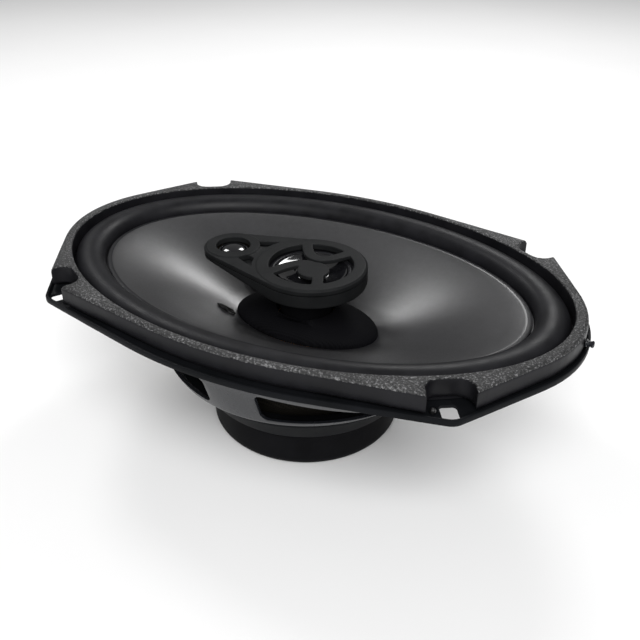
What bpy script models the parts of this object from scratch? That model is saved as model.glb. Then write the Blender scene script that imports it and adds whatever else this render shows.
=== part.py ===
"""Oval three-way coaxial car loudspeaker: stamped basket, soft-edge cone, and two small drivers on a post.

Metres, +Z towards the listener, +X along the long axis. The origin is the centre of the flat base.
"""

import math

import bmesh
import bpy
from mathutils import Matrix, Vector

MM = 0.001
GAP = 0.3 * MM  # between neighbouring pieces
SEAT = 0.1 * MM  # added where one piece rests on another
SMALL_BEVEL = 0.4 * MM  # on pins and rivets

# Basket rim
RIM_HALF_X = 116.1 * MM
RIM_HALF_Y = 78.2 * MM
SHEET = 1.2 * MM
LIP_RISE = 1.4 * MM
LIP_WIDTH = 1.2 * MM
EAR_RADIUS = 6.2 * MM
EAR_REACH = 2.2  # half the finely divided stretch, in ear radii
HOLE_FROM_END = 33.2 * MM
HOLE_FROM_SIDE = 21.0 * MM
HOLE_WIDTH = 6.2 * MM
HOLE_LENGTH = 8.0 * MM
RIM_STEPS = 48

# Gasket
GASKET_SEAT_GAP = 0.5 * MM
GASKET_SIDE_SETBACK = 3.0 * MM
GASKET_EAR_SETBACK = 1.6 * MM
GASKET_RISE = 9.2 * MM
GASKET_BAND_X = 4.8 * MM
GASKET_BAND_Y = 3.2 * MM
GASKET_SOFT_EDGE = 1.0 * MM
SCALLOP_HALF = 8.4 * MM
SCALLOP_FLOOR = 7.0 * MM
SCALLOP_CORNER = 5.4 * MM
PIN_RADIUS = 1.1 * MM
PIN_HEIGHT = 1.8 * MM
PIN_PLACE = 0.68  # share of the scallop's half width
PEG_RADIUS = 1.5 * MM
PEG_LENGTH = 3.2 * MM
PEG_RISE = 2.4 * MM

# Basket bowl
BASKET_DEPTH = 48.2 * MM
LAND_WIDTH = 2.6 * MM
WAIST_STEP_X = 22.0 * MM
WAIST_STEP_Y = 4.9 * MM
WAIST_POWER = 2.3
WINDOW_BELOW_RIM = 13.2 * MM
WINDOW_ABOVE_SHELF = 5.7 * MM
WINDOW_LOW_RADIUS = 57.6 * MM
WINDOW_CORNER = 3.0 * MM
LEDGE = 0.5 * MM  # plain wall above and below each window
SHORT_ARM_HALF = 11.2 * MM
LONG_ARM_HALF = 22.0 * MM
SHELF_RISE = 12.6 * MM
SHELF_RADIUS = 52.6 * MM
CUP_TOP_RADIUS = 46.0 * MM
CUP_FLOOR_RADIUS = 43.0 * MM
FLOOR_HOLE_MARGIN = 2.9 * MM  # round the cone's collar

# Magnet
COVER_RADIUS = 41.3 * MM
COVER_WALL = 2.4 * MM
COVER_FLOOR = 1.2 * MM
COVER_DROP = 1.0 * MM
COVER_FILLET = 4.5 * MM
BACK_PLATE_THICK = 3.9 * MM
FERRITE_THICK = 7.0 * MM
TOP_PLATE_THICK = 4.1 * MM
FERRITE_CLEARANCE = 0.6 * MM
FERRITE_SETBACK = 2.3 * MM  # from the top plate's bore
POLE_RADIUS = 14.9 * MM
POLE_ABOVE_FLOOR = 0.7 * MM
RIVET_CIRCLE = 30.0 * MM
RIVET_RADIUS = 2.4 * MM
RIVET_HEAD = 1.4 * MM
BOLT_SEAT = 0.75  # share of the back plate's thickness above the bolt's recess

# Voice coil and cone
COIL_CLEARANCE = 0.5 * MM
FORMER_WALL = 0.4 * MM
WINDING_WALL = 0.6 * MM
WINDING_LENGTH = 8.0 * MM
ROLL_SPAN_X = 15.0 * MM
ROLL_SPAN_Y = 13.4 * MM
CONE_LAND = 2.2 * MM
CONE_SHEET = 0.8 * MM
CONE_DEPTH = 26.6 * MM
COLLAR_LENGTH = 3.7 * MM
COLLAR_WALL = 1.0 * MM
SKIRT_LEDGE_X = 16.9 * MM  # from the collar's bore
SKIRT_LEDGE_Y = 2.5 * MM
SKIRT_ABOVE_NECK = 4.8 * MM
SKIRT_RISE = 8.2 * MM
SKIRT_INSET = 0.2 * MM
SKIRT_SHEET = 1.0 * MM
SKIRT_ARC_STEP = 15  # degrees
SPIDER_WAVES = 5
SPIDER_WAVE = 1.1 * MM
SPIDER_SHEET = 0.5 * MM
SPIDER_INNER_LAND = 2.0 * MM
SPIDER_OUTER_LAND = 1.0 * MM
SURROUND_SHEET = 0.6 * MM
SURROUND_LAND = 2.2 * MM
ROLL_CLEARANCE = 0.5 * MM
ROLL_RISE = 6.5 * MM

# Post and pod
POST_RADIUS = 11.1 * MM
BOLT_RADIUS = 2.8 * MM
BOLT_HEAD_RADIUS = 5.0 * MM
BOLT_REACH = 12.0 * MM
POD_X = 2.4 * MM
POD_WEB = 1.8 * MM  # between the two circles
POD_BELOW_GASKET = 0.7 * MM
POD_DEPTH = 8.2 * MM
POD_TAIL_DEPTH = 4.6 * MM
COVER_PLATE = 2.0 * MM
BIG_RADIUS = 23.6 * MM
BIG_RING_WIDTH = 5.9 * MM
SMALL_RADIUS = 12.6 * MM
SMALL_RING_WIDTH = 5.2 * MM
BIG_RING_INSET = 0.6 * MM
SMALL_RING_INSET = 0.8 * MM
RING_RISE = 0.6 * MM
BAR_WIDTH = 4.7 * MM
BAR_THICK = 1.7 * MM
# the bars and hub across the large opening, in shares of its radius
UPPER_BAR = {"apex": 0.316, "curl": 1.86, "reach": 0.633, "shift": 0}
LOWER_BAR = {"apex": -0.011, "curl": -2.04, "reach": 0.667, "shift": -0.062}
HUB_PLACE = (0.181, -0.249)
HUB_RADIUS = 0.373
POCKET_TAIL_TURNS = (24, 48)  # degrees
POCKET_BIG_TURNS = (149, 167)
POCKET_MARGIN_BIG = 1.4 * MM
POCKET_MARGIN_SMALL = 1.0 * MM
MID_CUP_WALL = 4.1 * MM
TWEETER_CUP_WALL = 3.0 * MM
TAIL_FLOOR = 0.8 * MM

# Small drivers, with heights above the inside of the pod's floor
MID_SEAT = 3.3 * MM
MID_FRAME_WALL = 0.8 * MM
MID_FRAME_FLOOR = 0.7 * MM
MID_YOKE_RADIUS = 9.5 * MM
MID_YOKE_WALL = 1.2 * MM
MID_YOKE_FLOOR = 1.0 * MM
MID_YOKE_HEIGHT = 2.4 * MM
MID_MAGNET_RADIUS = 6.2 * MM
MID_MAGNET_THICK = 0.8 * MM
MID_POLE_RADIUS = 6.5 * MM
MID_POLE_THICK = 0.6 * MM
MID_COIL_RADIUS = 7.3 * MM
MID_COIL_WALL = 0.4 * MM
MID_COIL_FOOT = 1.9 * MM
MID_EDGE = 4.4 * MM
MID_DOME_RADIUS = 7.0 * MM
MID_DOME_RISE = 1.1 * MM
MID_DOME_DROP = 0.9 * MM
MID_ROLL_RADIUS = 1.0 * MM
MID_ROLL_RISE = 0.8 * MM
MID_ROLL_SHEET = 0.3 * MM
MID_ROLL_FROM_WALL = 2.9 * MM
MID_EDGE_FROM_WALL = 4.2 * MM
FILM = 0.4 * MM
ELEMENT_THICK = 0.5 * MM
TWEETER_DOME_RISE = 1.9 * MM

# Terminals
BOARD_WIDTH = 30.0 * MM
BOARD_LENGTH = 20.0 * MM
BOARD_THICK = 1.6 * MM
WIDE_BLADE = 6.3 * MM
NARROW_BLADE = 4.8 * MM
BLADE_THICK = 0.8 * MM
BLADE_REACH = 0.8  # shares of the board's length
BLADE_SHIFT = 0.3
EYELET_DROP = 0.42
CAPACITOR_RADIUS = 4.0 * MM
CAPACITOR_LENGTH = 14.0 * MM
CAPACITOR_BEVEL = 0.6 * MM
CAPACITOR_SPACE = 2.0 * MM
BOARD_CORNER = 2.0 * MM
TERMINAL_RIVET = 1.5 * MM
TERMINAL_RIVET_HEAD = 1.0 * MM
LEAD_RADIUS = 0.7 * MM
LEAD_SAG = 3.0 * MM
EYELET_SPREAD = 6.0 * MM
EYELET_RADIUS = 1.4 * MM
EYELET_HEIGHT = 1.2 * MM
GLUE_SPREAD = 12.0 * MM
GLUE_FROM_SKIRT = 7.8 * MM
GLUE_LENGTH = 8.4 * MM
GLUE_WIDTH = 3.0 * MM
GLUE_HEIGHT = 0.9 * MM

# Heights and radii that follow from the sizes above
BACK_PLATE_Z = COVER_FLOOR + GAP
FERRITE_Z = BACK_PLATE_Z + BACK_PLATE_THICK + GAP
TOP_PLATE_Z = FERRITE_Z + FERRITE_THICK + GAP
FLOOR_UNDER_Z = TOP_PLATE_Z + TOP_PLATE_THICK + GAP + 0.1 * MM
FLOOR_Z = FLOOR_UNDER_Z + SHEET
COVER_HEIGHT = FLOOR_UNDER_Z - COVER_DROP
POLE_TOP_Z = FLOOR_Z + POLE_ABOVE_FLOOR
SHELF_Z = FLOOR_Z + SHELF_RISE
RIM_TOP_Z = FLOOR_UNDER_Z + BASKET_DEPTH
WINDOW_LOW_Z = SHELF_Z + WINDOW_ABOVE_SHELF
WINDOW_TOP_Z = RIM_TOP_Z - WINDOW_BELOW_RIM
LAND_Z = RIM_TOP_Z + GAP + 0.1 * MM
GASKET_Z = LAND_Z + SURROUND_SHEET + GAP
GASKET_TOP_Z = RIM_TOP_Z + GASKET_RISE
CONE_EDGE_Z = LAND_Z + SURROUND_SHEET + GAP + CONE_SHEET
NECK_Z = CONE_EDGE_Z - CONE_DEPTH
SKIRT_Z = NECK_Z + SKIRT_ABOVE_NECK
POD_TOP_Z = GASKET_TOP_Z - POD_BELOW_GASKET
POD_BASE_Z = POD_TOP_Z - POD_DEPTH
HOLE_HALF_X = RIM_HALF_X - HOLE_FROM_END
HOLE_HALF_Y = RIM_HALF_Y - HOLE_FROM_SIDE
GASKET_HALF_X = RIM_HALF_X - LIP_WIDTH - GASKET_SEAT_GAP
GASKET_HALF_Y = RIM_HALF_Y - LIP_WIDTH - GASKET_SIDE_SETBACK
GASKET_EAR = EAR_RADIUS - GASKET_EAR_SETBACK
GASKET_OPEN_X = GASKET_HALF_X - GASKET_BAND_X
GASKET_OPEN_Y = GASKET_HALF_Y - GASKET_BAND_Y
BOWL_HALF_X = GASKET_OPEN_X - LAND_WIDTH
BOWL_HALF_Y = GASKET_OPEN_Y - LAND_WIDTH
WAIST_HALF_X = BOWL_HALF_X - WAIST_STEP_X
WAIST_HALF_Y = BOWL_HALF_Y - WAIST_STEP_Y
CONE_EDGE_HALF_X = GASKET_OPEN_X - ROLL_SPAN_X
CONE_EDGE_HALF_Y = GASKET_OPEN_Y - ROLL_SPAN_Y
FORMER_INNER = POLE_RADIUS + COIL_CLEARANCE
FORMER_OUTER = FORMER_INNER + FORMER_WALL
WINDING_INNER = FORMER_OUTER + GAP
WINDING_OUTER = WINDING_INNER + WINDING_WALL
TOP_PLATE_BORE = WINDING_OUTER + COIL_CLEARANCE
COLLAR_INNER = FORMER_OUTER + GAP
COLLAR_OUTER = COLLAR_INNER + COLLAR_WALL
FLOOR_HOLE_RADIUS = COLLAR_OUTER + FLOOR_HOLE_MARGIN
FERRITE_BORE = TOP_PLATE_BORE + FERRITE_SETBACK
FERRITE_RADIUS = COVER_RADIUS - COVER_WALL - FERRITE_CLEARANCE
SKIRT_HALF_X = COLLAR_INNER + SKIRT_LEDGE_X
SKIRT_HALF_Y = COLLAR_INNER + SKIRT_LEDGE_Y
GLUE_X = SKIRT_HALF_X * math.sqrt(1 - (GLUE_SPREAD / SKIRT_HALF_Y) ** 2) + GLUE_FROM_SKIRT
POD_TAIL_X = POD_X - BIG_RADIUS - SMALL_RADIUS - POD_WEB
BIG_OPENING = BIG_RADIUS - BIG_RING_WIDTH
SMALL_OPENING = SMALL_RADIUS - SMALL_RING_WIDTH
MID_CUP_RADIUS = BIG_RADIUS - MID_CUP_WALL
TWEETER_CUP_RADIUS = SMALL_RADIUS - TWEETER_CUP_WALL
HOLE_ANGLE = math.atan2(HOLE_HALF_Y / GASKET_OPEN_Y ** 2, HOLE_HALF_X / GASKET_OPEN_X ** 2)
FULL_TURN = 2 * math.pi


def finish(name, colour, roughness, metallic=0.0):
    material = bpy.data.materials.new(name)
    material.use_nodes = True
    shader = material.node_tree.nodes["Principled BSDF"]
    shader.inputs["Base Color"].default_value = (*colour, 1.0)
    shader.inputs["Roughness"].default_value = roughness
    shader.inputs["Metallic"].default_value = metallic
    return material


def add(name, mesh_builder, material, smooth=35):
    """Turns a finished bmesh into an object with one material."""
    bmesh.ops.recalc_face_normals(mesh_builder, faces=mesh_builder.faces)
    mesh = bpy.data.meshes.new(name)
    mesh_builder.to_mesh(mesh)
    mesh_builder.free()
    mesh.materials.append(material)
    if smooth:
        mesh.shade_smooth()
        mesh.set_sharp_from_angle(angle=math.radians(smooth))
    item = bpy.data.objects.new(name, mesh)
    bpy.context.scene.collection.objects.link(item)
    return item


def cut(item, cutter, operation="DIFFERENCE"):
    """Takes the cutter out of the piece, or joins it on, and keeps it as a wire helper."""
    cutter.hide_render = True
    cutter.display_type = "WIRE"
    change = item.modifiers.new(cutter.name, "BOOLEAN")
    change.operation = operation
    change.solver = "EXACT"
    change.object = cutter


def even_angles(count):
    return [FULL_TURN * step / count for step in range(count)]


def rim_angles(count):
    """Even angles, with closer ones across each ear."""
    ear = math.atan2(HOLE_HALF_Y, HOLE_HALF_X)
    spread = EAR_REACH * EAR_RADIUS / math.hypot(HOLE_HALF_X, HOLE_HALF_Y)
    centres = (ear, math.pi - ear, math.pi + ear, FULL_TURN - ear)
    fine = [centre + spread * step / 4 for centre in centres for step in range(-4, 5)]
    clear = spread * 1.1
    coarse = [a for a in even_angles(count) if all(abs(a - c) > clear for c in centres)]
    return sorted(fine + coarse)


def oval_reach(angle, half_x, half_y, power=2.0):
    across = (abs(math.cos(angle)) / half_x) ** power + (abs(math.sin(angle)) / half_y) ** power
    return across ** (-1 / power)


def rim_reach(angle, half_x, half_y, ear_radius):
    """Distance from the centre to a line drawn tight round an oval and the four ears."""
    nearest = half_x
    for step in range(-150, 151):
        turn = math.radians(step * 0.5)
        normal = angle + turn
        oval = math.hypot(half_x * math.cos(normal), half_y * math.sin(normal))
        ears = HOLE_HALF_X * abs(math.cos(normal)) + HOLE_HALF_Y * abs(math.sin(normal)) + ear_radius
        nearest = min(nearest, max(oval, ears) / math.cos(turn))
    return nearest


def oval_ring(angles, half_x, half_y, z, power=2.0):
    reach = [oval_reach(a, half_x, half_y, power) for a in angles]
    return [Vector((r * math.cos(a), r * math.sin(a), z)) for a, r in zip(angles, reach)]


def rim_ring(angles, inset, z, half_x=RIM_HALF_X, half_y=RIM_HALF_Y, ear=EAR_RADIUS):
    reach = [rim_reach(a, half_x - inset, half_y - inset, ear - inset) for a in angles]
    return [Vector((r * math.cos(a), r * math.sin(a), z)) for a, r in zip(angles, reach)]


def ring_solid(rings):
    """A closed band whose section runs through the rings and back to the first."""
    shape = bmesh.new()
    loops = [[shape.verts.new(point) for point in ring] for ring in rings]
    for first, second in zip(loops, loops[1:] + loops[:1]):
        for step in range(len(first)):
            shape.faces.new((first[step - 1], first[step], second[step], second[step - 1]))
    bmesh.ops.triangulate(shape, faces=shape.faces)
    return shape


def turned(outline, steps, centre=(0.0, 0.0)):
    """Spins (radius, height) points about a vertical axis. An outline may start and end on the axis."""
    shape = bmesh.new()
    corners = [shape.verts.new((radius, 0, height)) for radius, height in outline]
    edges = [shape.edges.new(pair) for pair in zip(corners, corners[1:])]
    if outline[0][0] > 0:
        edges.append(shape.edges.new((corners[-1], corners[0])))
    bmesh.ops.spin(
        shape,
        geom=corners + edges,
        cent=(0, 0, 0),
        axis=(0, 0, 1),
        angle=FULL_TURN,
        steps=steps,
        use_merge=True,
    )
    bmesh.ops.remove_doubles(shape, verts=shape.verts, dist=1e-7)
    bmesh.ops.translate(shape, verts=shape.verts, vec=(*centre, 0))
    return shape


def disc(radius, low, high, steps=24, centre=(0.0, 0.0), bevel=0.0):
    """A round plate, with its upper edge chamfered where bevel is given."""
    outline = [(0, high), (radius - bevel, high), (radius, high - bevel), (radius, low), (0, low)]
    if not bevel:
        outline.pop(2)
    return turned(outline, steps, centre)


def washer(inner, outer, low, high, steps=40):
    return turned([(outer, high), (outer, low), (inner, low), (inner, high)], steps)


def slab(points, low, high):
    """An outline in the XY plane, extruded from one height to another."""
    shape = bmesh.new()
    face = shape.faces.new([shape.verts.new((x, y, low)) for x, y in points])
    raised = bmesh.ops.extrude_face_region(shape, geom=[face])
    moved = [v for v in raised["geom"] if isinstance(v, bmesh.types.BMVert)]
    bmesh.ops.translate(shape, verts=moved, vec=(0, 0, high - low))
    return shape


def block(size, centre=(0, 0, 0)):
    shape = bmesh.new()
    placed = Matrix.Translation(centre) @ Matrix.Diagonal((*size, 1))
    bmesh.ops.create_cube(shape, size=1, matrix=placed)
    return shape


def round_edges(shape, direction, radius, segments=3):
    """Rounds the edges of a block that run along one axis."""
    along = Vector(direction)
    edges = [e for e in shape.edges if abs((e.verts[0].co - e.verts[1].co).normalized().dot(along)) > 0.99]
    bmesh.ops.bevel(
        shape,
        geom=edges,
        offset=radius,
        offset_type="OFFSET",
        affect="EDGES",
        segments=segments,
        profile=0.5,
    )
    return shape


def placed(shape, matrix):
    bmesh.ops.transform(shape, matrix=matrix, verts=shape.verts)
    return shape


def ear_places():
    """Hole centres and the direction out across the rim at each."""
    for side_x, side_y in ((1, 1), (-1, 1), (-1, -1), (1, -1)):
        outward = math.atan2(side_y * math.sin(HOLE_ANGLE), side_x * math.cos(HOLE_ANGLE))
        yield side_x * HOLE_HALF_X, side_y * HOLE_HALF_Y, outward


# Basket


def basket_rings(angles):
    """The bowl's inner face from the lip to the floor, then its outer face back to the rim.

    Below the windows a flat ledge steps in to the spider's shelf.
    """
    waist = (WAIST_HALF_X, WAIST_HALF_Y)
    under = RIM_TOP_Z - SHEET
    return [
        rim_ring(angles, 0, RIM_TOP_Z + LIP_RISE),
        rim_ring(angles, LIP_WIDTH, RIM_TOP_Z + LIP_RISE),
        rim_ring(angles, LIP_WIDTH + LIP_RISE / 4, RIM_TOP_Z),
        oval_ring(angles, BOWL_HALF_X + SHEET, BOWL_HALF_Y + SHEET, RIM_TOP_Z),
        oval_ring(angles, BOWL_HALF_X, BOWL_HALF_Y, RIM_TOP_Z - SHEET),
        oval_ring(angles, *waist, WINDOW_TOP_Z + LEDGE, WAIST_POWER),
        oval_ring(angles, WINDOW_LOW_RADIUS, WINDOW_LOW_RADIUS, WINDOW_LOW_Z - LEDGE),
        oval_ring(angles, SHELF_RADIUS, SHELF_RADIUS, WINDOW_LOW_Z - 2 * LEDGE),
        oval_ring(angles, SHELF_RADIUS, SHELF_RADIUS, SHELF_Z),
        oval_ring(angles, CUP_TOP_RADIUS, CUP_TOP_RADIUS, SHELF_Z),
        oval_ring(angles, CUP_FLOOR_RADIUS, CUP_FLOOR_RADIUS, FLOOR_Z),
        oval_ring(angles, FLOOR_HOLE_RADIUS, FLOOR_HOLE_RADIUS, FLOOR_Z),
        oval_ring(angles, FLOOR_HOLE_RADIUS, FLOOR_HOLE_RADIUS, FLOOR_UNDER_Z),
        oval_ring(angles, CUP_FLOOR_RADIUS + SHEET, CUP_FLOOR_RADIUS + SHEET, FLOOR_UNDER_Z),
        oval_ring(angles, CUP_TOP_RADIUS + SHEET, CUP_TOP_RADIUS + SHEET, SHELF_Z - SHEET),
        oval_ring(angles, SHELF_RADIUS + SHEET, SHELF_RADIUS + SHEET, SHELF_Z - SHEET),
        oval_ring(angles, SHELF_RADIUS + SHEET, SHELF_RADIUS + SHEET, WINDOW_LOW_Z - 2 * LEDGE - SHEET),
        oval_ring(angles, WINDOW_LOW_RADIUS + SHEET, WINDOW_LOW_RADIUS + SHEET, WINDOW_LOW_Z - LEDGE - SHEET),
        oval_ring(angles, WINDOW_LOW_RADIUS + SHEET, WINDOW_LOW_RADIUS + SHEET, WINDOW_LOW_Z - LEDGE),
        oval_ring(angles, waist[0] + SHEET, waist[1] + SHEET, WINDOW_TOP_Z + LEDGE, WAIST_POWER),
        oval_ring(angles, BOWL_HALF_X + SHEET, BOWL_HALF_Y + SHEET, under - SHEET),
        oval_ring(angles, BOWL_HALF_X + 2 * SHEET, BOWL_HALF_Y + 2 * SHEET, under),
        rim_ring(angles, 0, under),
    ]


def window_cutter(side_x, side_y):
    """A block between two neighbouring arms of the basket, with its four radial edges rounded."""
    low = Vector((SHORT_ARM_HALF, LONG_ARM_HALF, WINDOW_LOW_Z))
    high = Vector((RIM_HALF_X, RIM_HALF_Y, WINDOW_TOP_Z))
    middle = (low + high) / 2
    shape = block(high - low, (side_x * middle.x, side_y * middle.y, middle.z))
    edges = []
    for edge in shape.edges:
        centre = (edge.verts[0].co + edge.verts[1].co) / 2
        level = abs(centre.z - middle.z) > MM
        on_arm = min(abs(abs(centre.x) - low.x), abs(abs(centre.y) - low.y)) < MM / 10
        if level and on_arm:
            edges.append(edge)
    bmesh.ops.bevel(
        shape,
        geom=edges,
        offset=WINDOW_CORNER,
        offset_type="OFFSET",
        affect="EDGES",
        segments=3,
        profile=0.5,
    )
    return shape


def make_basket(steel):
    basket = add("basket", ring_solid(basket_rings(rim_angles(RIM_STEPS))), steel)
    for side_x, side_y in ((1, 1), (-1, 1), (-1, -1), (1, -1)):
        name = f"window_cutter_{side_x}_{side_y}"
        cut(basket, add(name, window_cutter(side_x, side_y), steel, 0))
    for number, (x, y, outward) in enumerate(ear_places(), 1):
        shape = round_edges(block((HOLE_LENGTH, HOLE_WIDTH, 6 * SHEET)), (0, 0, 1), HOLE_WIDTH / 4)
        placed(shape, Matrix.Translation((x, y, RIM_TOP_Z)) @ Matrix.Rotation(outward, 4, "Z"))
        cut(basket, add(f"hole_cutter_{number}", shape, steel, 0))
    return basket


# Magnet


def make_magnet_cover(rubber):
    inner = COVER_RADIUS - COVER_WALL
    arc = []
    for step in range(5):
        turn = math.pi / 2 * step / 4
        radius = COVER_RADIUS - COVER_FILLET + COVER_FILLET * math.cos(turn)
        arc.append((radius, COVER_FILLET - COVER_FILLET * math.sin(turn)))
    shoulder = COVER_WALL / 2
    outline = [(0, COVER_FLOOR), (inner - COVER_WALL, COVER_FLOOR), (inner, COVER_FILLET)]
    outline += [(inner, COVER_HEIGHT), (COVER_RADIUS - shoulder, COVER_HEIGHT)]
    outline += [(COVER_RADIUS, COVER_HEIGHT - shoulder)] + arc + [(0, 0)]
    add("magnet_cover", turned(outline, 56), rubber)


def make_motor(zinc, ferrite, steel):
    plate_radius = COVER_RADIUS - 2 * COVER_WALL
    low = BACK_PLATE_Z
    high = low + BACK_PLATE_THICK
    bore = BOLT_RADIUS + 2 * GAP
    recess = BOLT_HEAD_RADIUS + 2 * GAP
    step = low + BACK_PLATE_THICK * BOLT_SEAT
    outline = [(plate_radius, high), (plate_radius, low), (recess, low), (recess, step)]
    outline += [(bore, step), (bore, POLE_TOP_Z), (POLE_RADIUS, POLE_TOP_Z), (POLE_RADIUS, high)]
    add("back_plate_and_pole", turned(outline, 40), zinc)
    add("ferrite_magnet", washer(FERRITE_BORE, FERRITE_RADIUS, FERRITE_Z, FERRITE_Z + FERRITE_THICK), ferrite)
    top = TOP_PLATE_Z + TOP_PLATE_THICK
    add("top_plate", washer(TOP_PLATE_BORE, FERRITE_RADIUS - GAP, TOP_PLATE_Z, top), zinc)
    for number in range(1, 5):
        angle = FULL_TURN * (number - 0.5) / 4
        centre = (RIVET_CIRCLE * math.cos(angle), RIVET_CIRCLE * math.sin(angle))
        low = FLOOR_Z + GAP
        rivet = disc(RIVET_RADIUS, low, low + RIVET_HEAD, 14, centre, RIVET_HEAD / 2)
        add(f"basket_rivet_{number}", rivet, steel)


def make_post(plastic, steel):
    low = POLE_TOP_Z + GAP
    high = POD_BASE_Z - GAP - SEAT
    bore = BOLT_RADIUS + 2 * GAP
    depth = low + BOLT_REACH + MM
    outline = [(0, high), (POST_RADIUS, high), (POST_RADIUS, low), (bore, low), (bore, depth), (0, depth)]
    add("centre_post", turned(outline, 32), plastic)
    head = BACK_PLATE_Z + GAP
    neck = BACK_PLATE_Z + BACK_PLATE_THICK * BOLT_SEAT - GAP
    outline = [(0, low + BOLT_REACH), (BOLT_RADIUS, low + BOLT_REACH), (BOLT_RADIUS, neck)]
    outline += [(BOLT_HEAD_RADIUS, neck), (BOLT_HEAD_RADIUS, head), (0, head)]
    add("post_bolt", turned(outline, 18), steel)


# Cone, coil and suspensions


def make_coil(kapton, copper):
    middle = TOP_PLATE_Z + TOP_PLATE_THICK / 2
    low = middle - WINDING_LENGTH / 2
    high = SKIRT_Z - GAP
    add("voice_coil_former", washer(FORMER_INNER, FORMER_OUTER, low - GAP, high, 36), kapton)
    add("voice_coil_winding", washer(WINDING_INNER, WINDING_OUTER, low, low + WINDING_LENGTH, 36), copper)


def make_cone(paper):
    angles = even_angles(56)
    inner_x = CONE_EDGE_HALF_X - CONE_LAND
    inner_y = CONE_EDGE_HALF_Y - CONE_LAND
    under = CONE_EDGE_Z - CONE_SHEET
    collar_z = NECK_Z - COLLAR_LENGTH
    rings = [
        oval_ring(angles, CONE_EDGE_HALF_X, CONE_EDGE_HALF_Y, CONE_EDGE_Z),
        oval_ring(angles, inner_x, inner_y, CONE_EDGE_Z),
        oval_ring(angles, SKIRT_HALF_X, SKIRT_HALF_Y, SKIRT_Z),
        oval_ring(angles, COLLAR_INNER, COLLAR_INNER, NECK_Z),
        oval_ring(angles, COLLAR_INNER, COLLAR_INNER, collar_z),
        oval_ring(angles, COLLAR_OUTER, COLLAR_OUTER, collar_z),
        oval_ring(angles, COLLAR_OUTER, COLLAR_OUTER, NECK_Z - CONE_SHEET),
        oval_ring(angles, SKIRT_HALF_X, SKIRT_HALF_Y, SKIRT_Z - 1.25 * CONE_SHEET),
        oval_ring(angles, inner_x, inner_y, under),
        oval_ring(angles, CONE_EDGE_HALF_X, CONE_EDGE_HALF_Y, under),
    ]
    add("woofer_cone", ring_solid(rings), paper)


def skirt_section(inset):
    """Half axes and heights up the oval dome, pulled in by the given inset."""
    section = []
    for step in range(4):
        turn = math.radians(SKIRT_ARC_STEP * step)
        half_x = (SKIRT_HALF_X - inset) * math.cos(turn)
        half_y = (SKIRT_HALF_Y - inset) * math.cos(turn)
        section.append((half_x, half_y, (SKIRT_RISE - inset) * math.sin(turn)))
    return section


def make_dust_skirt(cloth):
    """An oval dome over the neck with a round hole that clears the post."""
    angles = even_angles(44)
    base = SKIRT_Z + GAP + SEAT
    hole = POST_RADIUS + 5 * GAP
    outer = [oval_ring(angles, x, y, base + z) for x, y, z in skirt_section(SKIRT_INSET)]
    inner = [oval_ring(angles, x, y, base + z) for x, y, z in skirt_section(SKIRT_INSET + SKIRT_SHEET)]
    crown = base + SKIRT_RISE
    top = [oval_ring(angles, hole, hole, crown), oval_ring(angles, hole, hole, crown - SKIRT_SHEET)]
    add("dust_skirt", ring_solid(outer + top + inner[::-1]), cloth)


def make_surround(butyl):
    """A half roll between the cone's edge and the gasket, with a flat land on each side."""
    angles = even_angles(56)
    mid_x = (CONE_EDGE_HALF_X + GASKET_OPEN_X) / 2
    mid_y = (CONE_EDGE_HALF_Y + GASKET_OPEN_Y) / 2
    half_x = (GASKET_OPEN_X - CONE_EDGE_HALF_X) / 2 - ROLL_CLEARANCE
    half_y = (GASKET_OPEN_Y - CONE_EDGE_HALF_Y) / 2 - ROLL_CLEARANCE
    outer_land = ROLL_CLEARANCE + SURROUND_LAND
    inner_land = ROLL_CLEARANCE + CONE_LAND
    top_z = LAND_Z + SURROUND_SHEET
    outer = (mid_x + half_x + outer_land, mid_y + half_y + outer_land)
    inner = (mid_x - half_x - inner_land, mid_y - half_y - inner_land)
    over = [oval_ring(angles, *outer, top_z)]
    under = [oval_ring(angles, *outer, LAND_Z)]
    for step in range(9):
        turn = math.pi * step / 8
        side = math.cos(turn)
        rise = math.sin(turn) * ROLL_RISE
        wide = (mid_x + side * half_x, mid_y + side * half_y)
        thin = side * SURROUND_SHEET
        over.append(oval_ring(angles, *wide, top_z + rise))
        under.append(oval_ring(angles, wide[0] - thin, wide[1] - thin, LAND_Z + rise))
    over.append(oval_ring(angles, *inner, top_z))
    under.append(oval_ring(angles, *inner, LAND_Z))
    add("surround", ring_solid(over + under[::-1]), butyl)


def make_spider(cloth):
    """A corrugated disc from the coil to the basket's shelf."""
    sheet = SPIDER_SHEET
    base = SHELF_Z + GAP
    start = COLLAR_OUTER + SPIDER_INNER_LAND
    stop = CUP_TOP_RADIUS - SPIDER_OUTER_LAND
    outline = []
    steps = SPIDER_WAVES * 2
    for step in range(steps + 1):
        radius = start + (stop - start) * step / steps
        outline.append((radius, base + SPIDER_WAVE * (1 - (-1) ** step)))
    rim = SHELF_RADIUS - 2 * GAP
    over = [(COLLAR_INNER, base + sheet)] + [(radius, height + sheet) for radius, height in outline]
    over.append((rim, base + sheet))
    under = [(COLLAR_INNER, base)] + outline + [(rim, base)]
    add("spider", turned(over + under[::-1], 32), cloth)


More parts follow.
